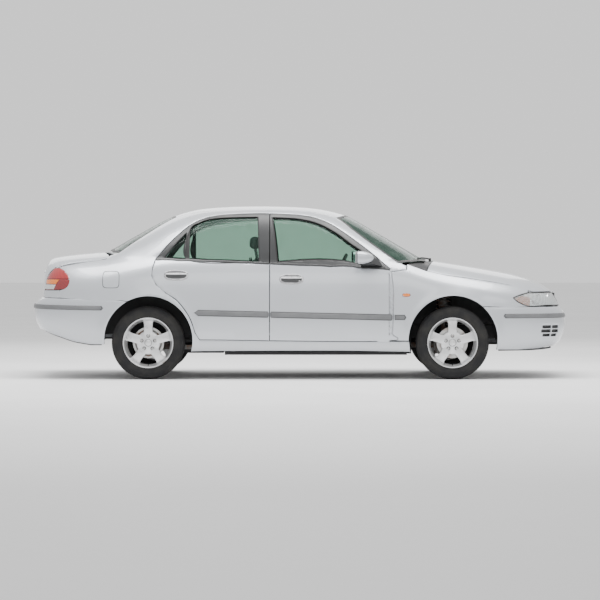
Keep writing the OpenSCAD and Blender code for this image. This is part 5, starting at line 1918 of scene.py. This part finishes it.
@dataclass
class Cabin:
    """Seats, dash, wheel, floor covering and shelf."""
    seat_y: float = 365.0

    def pad(self, name: str, line: Sequence[Sequence[float]], half: float, voxel: float, reach: float,
            crown: float) -> bpy.types.Object:
        """Stuffed seat part from a side outline, blown up by cloth pressure.

        Args:
            name: Object name.
            line: Side outline in millimetres, drawn a little small.
            half: Half width in millimetres.
            voxel: Remesh size in millimetres.
            reach: Farthest a point may move in millimetres.
            crown: Inward pull of the sides' edges in millimetres.

        Returns:
            The closed pad about the middle plane.
        """
        obj = slab(name, line, -half, half, crown)
        mod = obj.modifiers.new("grid", "REMESH")
        mod.mode, mod.voxel_size, mod.use_smooth_shade = "VOXEL", voxel/1000, True
        deps = bpy.context.evaluated_depsgraph_get()
        mesh = bpy.data.meshes.new_from_object(obj.evaluated_get(deps), depsgraph=deps)
        bpy.data.objects.remove(obj)
        obj = bpy.data.objects.new(name, mesh)
        mesh.name = name
        bpy.context.scene.collection.objects.link(obj)
        rest = np.empty(len(mesh.vertices)*3)
        mesh.vertices.foreach_get("co", rest)
        cloth = obj.modifiers.new("cloth", "CLOTH")
        cloth.settings.use_pressure = True
        cloth.settings.uniform_pressure_force = 4.0
        cloth.settings.effector_weights.gravity = 0
        cloth.settings.quality = 4
        scene = bpy.context.scene
        for n in range(1, 13):
            scene.frame_set(n)
        deps = bpy.context.evaluated_depsgraph_get()
        blown = bpy.data.meshes.new_from_object(obj.evaluated_get(deps), depsgraph=deps)
        co = np.empty(len(rest))
        blown.vertices.foreach_get("co", co)
        obj.modifiers.remove(cloth)
        bpy.data.meshes.remove(blown)
        scene.frame_set(1)
        move = (co - rest).reshape(-1, 3)
        far = np.maximum(np.linalg.norm(move, axis=1, keepdims=True)/(reach/1000), 1)
        rest = (rest.reshape(-1, 3) + move/far).ravel()
        bm = bmesh.new()
        bm.from_mesh(mesh)
        for v, c in zip(bm.verts, rest.reshape(-1, 3)):
            v.co = c
        for _ in range(2):
            bmesh.ops.smooth_vert(bm, verts=bm.verts, factor=0.5, use_axis_x=True, use_axis_y=True, use_axis_z=True)
        bm.to_mesh(mesh)
        bm.free()
        mesh.polygons.foreach_set("use_smooth", [True]*len(mesh.polygons))
        return obj

    def channels(self, obj: bpy.types.Object, width: float, deep: float, lines: Sequence[float]) -> None:
        """Presses sewn channels into a pad at given side distances."""
        mesh = obj.data
        for v in mesh.vertices:
            y = v.co.y*1000
            d = sum(math.exp(-((y - q)/width)**2) for q in lines)
            if d > 0.02:
                v.co -= v.normal*min(d, 1)*deep/1000
        mesh.update()

    def seats(self) -> None:
        """Front seats with head rests and rails; rear bench and back."""
        cushion = [[-165,470],[-150,545],[60,545],[300,562],[352,548],[368,500],[350,440],[-120,440]]
        back = [[-222,500],[-150,600],[-150,660],[-300,985],[-345,1012],[-398,1000],[-405,965],[-290,640],[-240,530]]
        head = [[-350,1088],[-342,1162],[-362,1178],[-412,1170],[-422,1096],[-400,1076],[-362,1072]]
        made = [(self.pad("cushion", cushion, 228, 16, 14, 26), (-150, 150), "seat_cushion"),
                (self.pad("back", back, 225, 16, 12, 26), (-150, 150), "seat_back"),
                (self.pad("head", head, 118, 10, 8, 18), (), "head_rest")]
        for obj, lines, word in made:
            if lines:
                self.channels(obj, 9, 7, lines)
            coat(obj, SEAT)
            for s in Side:
                o = bpy.data.objects.new(word + "_" + s.word, obj.data.copy())
                o.data.name = o.name
                bpy.context.scene.collection.objects.link(o)
                o.data.transform(Matrix.Translation((0, s.value*self.seat_y/1000, 0)))
                ride(o, "body", *(["front_seats"] if word == "seat_cushion" else []))
            bpy.data.objects.remove(obj)
        parts = []
        for s in Side:
            y = s.value*self.seat_y
            for t in (-58, 58):
                parts.append(coat(tube("stay", [(-366, y + t, 985),(-372, y + t, 1040),(-384, y + t, 1092)], 6, 12),
                        CHROME))
            for t in (-190, 190):
                parts.append(coat(block("rail", (-170, 320), (y + t - 16, y + t + 16), (224, 262), 5), PIPE))
            parts.append(coat(slab("base", [[-190,262],[300,262],[340,380],[330,436],[-150,436],[-200,380]], y - 205,
                                   y + 205, 14), TRIM_DARK))
            parts.append(coat(slab("shell", [[-240,520],[-300,640],[-412,960],[-424,1004],[-418,900],[-310,590],
                                             [-262,470],[-215,440]], y - 205, y + 205, 8), TRIM_DARK))
            knob = lathe("knob", [(0, 16), (22, 14), (26, 8), (26, 0), (0, 0)], (-190, 0, 470), 24, closed=False)
            if s is Side.RIGHT:
                flip(knob)
            knob.data.transform(Matrix.Translation((0, (y + s.value*208)/1000, 0)))
            parts.append(coat(knob, BLACK))
        ride(join("seat_frames", parts), "body")
        bench = self.pad("rear_cushion", [[-490,350],[-480,490],[-500,532],[-560,548],[-850,522],[-950,480],[-1000,350]],
                         528, 20, 12, 30)
        rest = self.pad("rear_back", [[-905,560],[-880,600],[-1020,965],[-1050,975],[-1085,955],[-1088,880],[-1020,560]],
                        528, 20, 12, 30)
        for o in (bench, rest):
            self.channels(o, 11, 8, (-320, -190, 0, 190, 320))
            coat(o, SEAT)
            ride(o, "body", *(["rear_seat"] if o is bench else []))
        base = coat(slab("base", [[-500,324],[-1096,324],[-1096,960],[-1080,960],[-1040,560],[-900,430],[-510,430]],
                         -540, 540, 10), CARPET)
        ride(base, "body")
        base.name = "rear_seat_base"

    def dash(self) -> None:
        """Dash top, binnacle, vents, console, gear lever and column cover."""
        line = [[858,575],[858,878],[820,906],[740,922],[660,929],[600,930],[560,914],[535,872],[548,800],[570,770],
                [610,700],[650,625],[700,590],[760,572]]
        parts = [coat(slab("dash", smooth_line(line, 22, True), -655, 655, 16), TRIM_DARK),
                 coat(slab("hood", [[560,900],[548,946],[580,962],[640,958],[700,936],[700,900]], 225, 505, 18),
                         TRIM_DARK),
                 coat(slab("dials", [[556,866],[552,936],[570,940],[580,866]], 245, 485, 6), BLACK),
                 coat(slab("console", [[405,324],[405,520],[430,545],[560,600],[640,640],[700,640],[700,324]], -105,
                         105, 14),
                      TRIM_DARK),
                 coat(slab("tunnel_box", [[-260,324],[-250,450],[-220,468],[120,468],[160,440],[200,324]], -90, 90,
                         18), TRIM),
                 coat(tube("lever", [(470, 0, 540),(462, 0, 600),(452, 0, 668)], [9, 7, 6], 12), PIPE),
                 coat(lathe("knob", [(0, 30), (14, 28), (22, 14), (20, 0), (10, -10), (0, -10)], (452, 0, 668), 24,
                         "z", False),
                      BLACK)]
        for y in (-560, -110, 110, 575):
            slats = Layout.lay("v", Rule.ROW, BLACK, block("s", (-3, 12), (-52, 52), (-1.5, 1.5), 0.8), Count=5,
                               Centre=(534, y, 826), Pitch=(-1.5, 0, 11))
            parts.append(slats)
            parts.append(coat(slab("vent", [[536,816],[530,880],[541,884],[547,812]], y - 60, y + 60, 3), FRAME))
        for y, z in ((-40, 745), (0, 745), (40, 745)):
            parts.append(coat(lathe("dial", [(0, -16), (14, -15), (17, -8), (17, 2), (0, 2)], (560, y, z), 24, "x",
                    False), BLACK))
        column = lathe("column", [(0, 0), (34, 0), (44, 16), (46, 120), (40, 210), (0, 210)], (0, 0, 112), 32, "z",
                False)
        column.data.transform(Matrix.Translation((0.330, 0.365, 0.866)) @ Matrix.Rotation(math.radians(114), 4, "Y"))
        parts.append(coat(column, TRIM_DARK))
        ride(join("dash_and_console", parts), "body", "dashboard")
        self.wheel()

    def wheel(self) -> None:
        """Steering wheel rim, spokes and pad."""
        ring = [(171*math.cos(a), 171*math.sin(a), 0) for a in np.linspace(0, 2*math.pi, 72, endpoint=False)]
        parts = [coat(tube("rim", ring, 14.2, 16, closed=True), BLACK)]
        for a in (180, 0, -90):
            c, s = math.cos(math.radians(a + 90)), math.sin(math.radians(a + 90))
            path = [(c*r, s*r, 6 - 4*t) for r, t in ((40, 0), (80, 0.3), (120, 0.6), (168, 1))]
            parts.append(coat(tube("spoke", path, [30, 22, 17, 15], 14, 0.45), TRIM_DARK))
        hub = [(0, -22), (40, -20), (62, -10), (70, 4), (60, 30), (24, 50), (22, 104), (0, 104)]
        parts.append(coat(lathe("pad", hub, (0, 0, 0), 48, "z", False), TRIM_DARK))
        o = join("steering_wheel_rim", parts)
        o.data.transform(Matrix.Translation((0.330, 0.365, 0.866)) @ Matrix.Rotation(math.radians(114), 4, "Y"))
        ride(o, "steering_wheel", "steering_wheel")

    def shelf(self) -> None:
        """Parcel shelf, carpet and rear-view mirror."""
        parts = [coat(slab("shelf", [[-1108,968],[-1555,968],[-1555,984],[-1500,989],[-1108,989]], -585, 585, 4),
                CARPET),
                 coat(block("bulkhead", (-1120, -1104), (-574, 574), (424, 968), 4), CARPET),
                 coat(block("brake_lamp", (-1520, -1470), (-90, 90), (990, 1018), 8), RED_DARK)]
        for y in (-330, 330):
            parts.append(coat(lathe("speaker", [(0, 5), (60, 5), (70, 2), (72, -3), (0, -3)], (-1340, y, 990), 40,
                    "z", False),
                              BLACK))
        parts.append(coat(slab("pan_end", [[-1562,966],[-1580,968],[-1580,1003],[-1562,1003]], -518, 518, 2), UNDER))
        ride(join("shelf_trim", parts), "body", "parcel_shelf")
        parts = [coat(block("carpet_l", (-596, 840), (130, 725), (223, 234), 4), CARPET),
                 coat(block("carpet_r", (-596, 840), (-725, -130), (223, 234), 4), CARPET),
                 coat(slab("tunnel", [[-596,302],[-596,334],[850,334],[850,302]], -160, 160, 8), CARPET)]
        ride(join("cabin_carpet", parts), "body")
        parts = [coat(block("mirror", (395, 420), (-125, 125), (1232, 1286), 10), BLACK),
                 coat(block("mirror_glass", (392, 396), (-118, 118), (1238, 1280), 1.5), REFLECTOR),
                 coat(tube("stem", [(418, 0, 1262),(450, 0, 1290),(470, 0, 1306)], 7, 12), BLACK)]
        ride(join("rear_view_mirror", parts), "body")

    def build(self) -> None:
        """Builds the whole cabin."""
        self.seats()
        self.dash()
        self.shelf()


@dataclass
class Running:
    """Suspension, engine, exhaust and what shows underneath."""

    def springs(self) -> None:
        """Front and rear coil springs."""
        for s in Side:
            y = s.value*512
            coil = Layout.lay("spring_" + s.word, Rule.COIL, CAST, None, Centre=(1198, y, 520), Radius=58, Turns=5.0,
                              Pitch=(0, 0, 190), Wire=6.5)
            ride(coil, "body")
            rear = Layout.lay("rear_spring_" + s.word, Rule.COIL, CAST, None, Centre=(-1252, s.value*530, 334),
                    Radius=50,
                              Turns=2.0, Pitch=(0, 0, 62), Wire=6.0)
            ride(rear, "body")

    def engine(self) -> None:
        """Cover, ribs, intake and hoses over the engine block."""
        parts = [coat(block("cover", (1180, 1660), (-250, 300), (760, 796), 16), BLACK)]
        rib = block("rib", (-200, 200), (-4, 4), (0, 6), 1.5)
        parts.append(Layout.lay("ribs", Rule.ROW, BLACK, rib, Count=9, Centre=(1420, -200, 794), Pitch=(0, 50, 0)))
        parts.append(coat(tube("hose", smooth_line([(1660, -120, 700),(1760, -150, 740),(1850, -230, 735),(1930,
                -260, 690)], 20),
                               20, 14), RUBBER))
        parts.append(coat(block("battery", (1350, 1600), (395, 520), (520, 700), 8), BLACK))
        fin = block("fin", (0, 3), (-310, 310), (-1, 1), 0)
        parts.append(Layout.lay("fins", Rule.ROW, ENGINE, fin, Count=30, Centre=(2010, 0, 320), Pitch=(0, 0, 12.5)))
        ride(join("engine_dress", parts), "body")

    def build(self) -> None:
        """Builds the running gear and dresses the CAD pieces that stay."""
        self.springs()
        self.engine()
        keep = {"floor_pan": UNDER, "firewall": UNDER, "arch_liners": UNDER, "engine_block": ENGINE,
                "front_suspension": CAST, "knuckle_left": CAST, "knuckle_right": CAST, "rear_axle": CAST,
                "exhaust": PIPE, "fuel_tank": UNDER}
        for node, fin in keep.items():
            obj = bpy.data.objects.get(node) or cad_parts[node]
            coat(obj, fin)
            LOG.info("%s keeps its CAD shape", node)


class Studio:
    """Floor, lights, world and camera."""

    def lamp(self, name: str, place: Sequence[float], size: tuple[float, float], power: float,
             aim: Sequence[float] = (0, 0, 0.6)) -> None:
        """Adds one soft rectangular light aimed at a point.

        Args:
            name: Light name.
            place: Position in metres.
            size: Width and height in metres.
            power: Watts.
            aim: Point it shines at.
        """
        data = bpy.data.lights.new(name, "AREA")
        data.shape, data.size, data.size_y, data.energy = "RECTANGLE", *size, power
        obj = bpy.data.objects.new(name, data)
        obj.location = place
        obj.rotation_euler = (Vector(aim) - Vector(place)).to_track_quat("-Z", "Y").to_euler()
        bpy.context.scene.collection.objects.link(obj)

    def build(self) -> None:
        """Sets up the studio."""
        bm = bmesh.new()
        bmesh.ops.create_grid(bm, x_segments=8, y_segments=8, size=60)
        floor = from_bm(bm, "studio_floor_plane")
        if floor.data.polygons[0].normal.z < 0:
            floor.data.flip_normals()
        coat(floor, FLOOR)
        world = bpy.data.worlds.new("studio")
        world.use_nodes = True
        world.node_tree.nodes["Background"].inputs[0].default_value = (1.0, 1.0, 1.0, 1)
        world.node_tree.nodes["Background"].inputs[1].default_value = 1.05
        bpy.context.scene.world = world
        self.lamp("top", (0, -1.0, 6.0), (7.0, 4.0), 850)
        self.lamp("side", (1.5, -9.0, 4.5), (9.0, 3.0), 120)
        self.lamp("back", (-1.0, 7.0, 4.0), (9.0, 3.0), 160)
        cam = bpy.data.cameras.new("camera")
        cam.lens, cam.sensor_width = 167.8, 36.0
        cam.clip_end = 200
        obj = bpy.data.objects.new("camera", cam)
        obj.location = (0, -23.85, 1.1)
        aim = Vector((0, -0.85, 0.656)) - Vector(obj.location)
        obj.rotation_euler = aim.to_track_quat("-Z", "Y").to_euler()
        bpy.context.scene.collection.objects.link(obj)
        bpy.context.scene.camera = obj


def main() -> None:
    """Builds every class in order."""
    logging.basicConfig(level=logging.INFO, format="%(name)s: %(message)s")
    Studio().build()
    for part in (Bodywork(), Bumpers(), Lamps(), Glazing()):
        part.build()
    for side in Side:
        for front in (True, False):
            Door(side, front).build()
            Wheel(side, front).build()
    Cabin().build()
    Running().build()


if __name__ == "__main__":
    main()
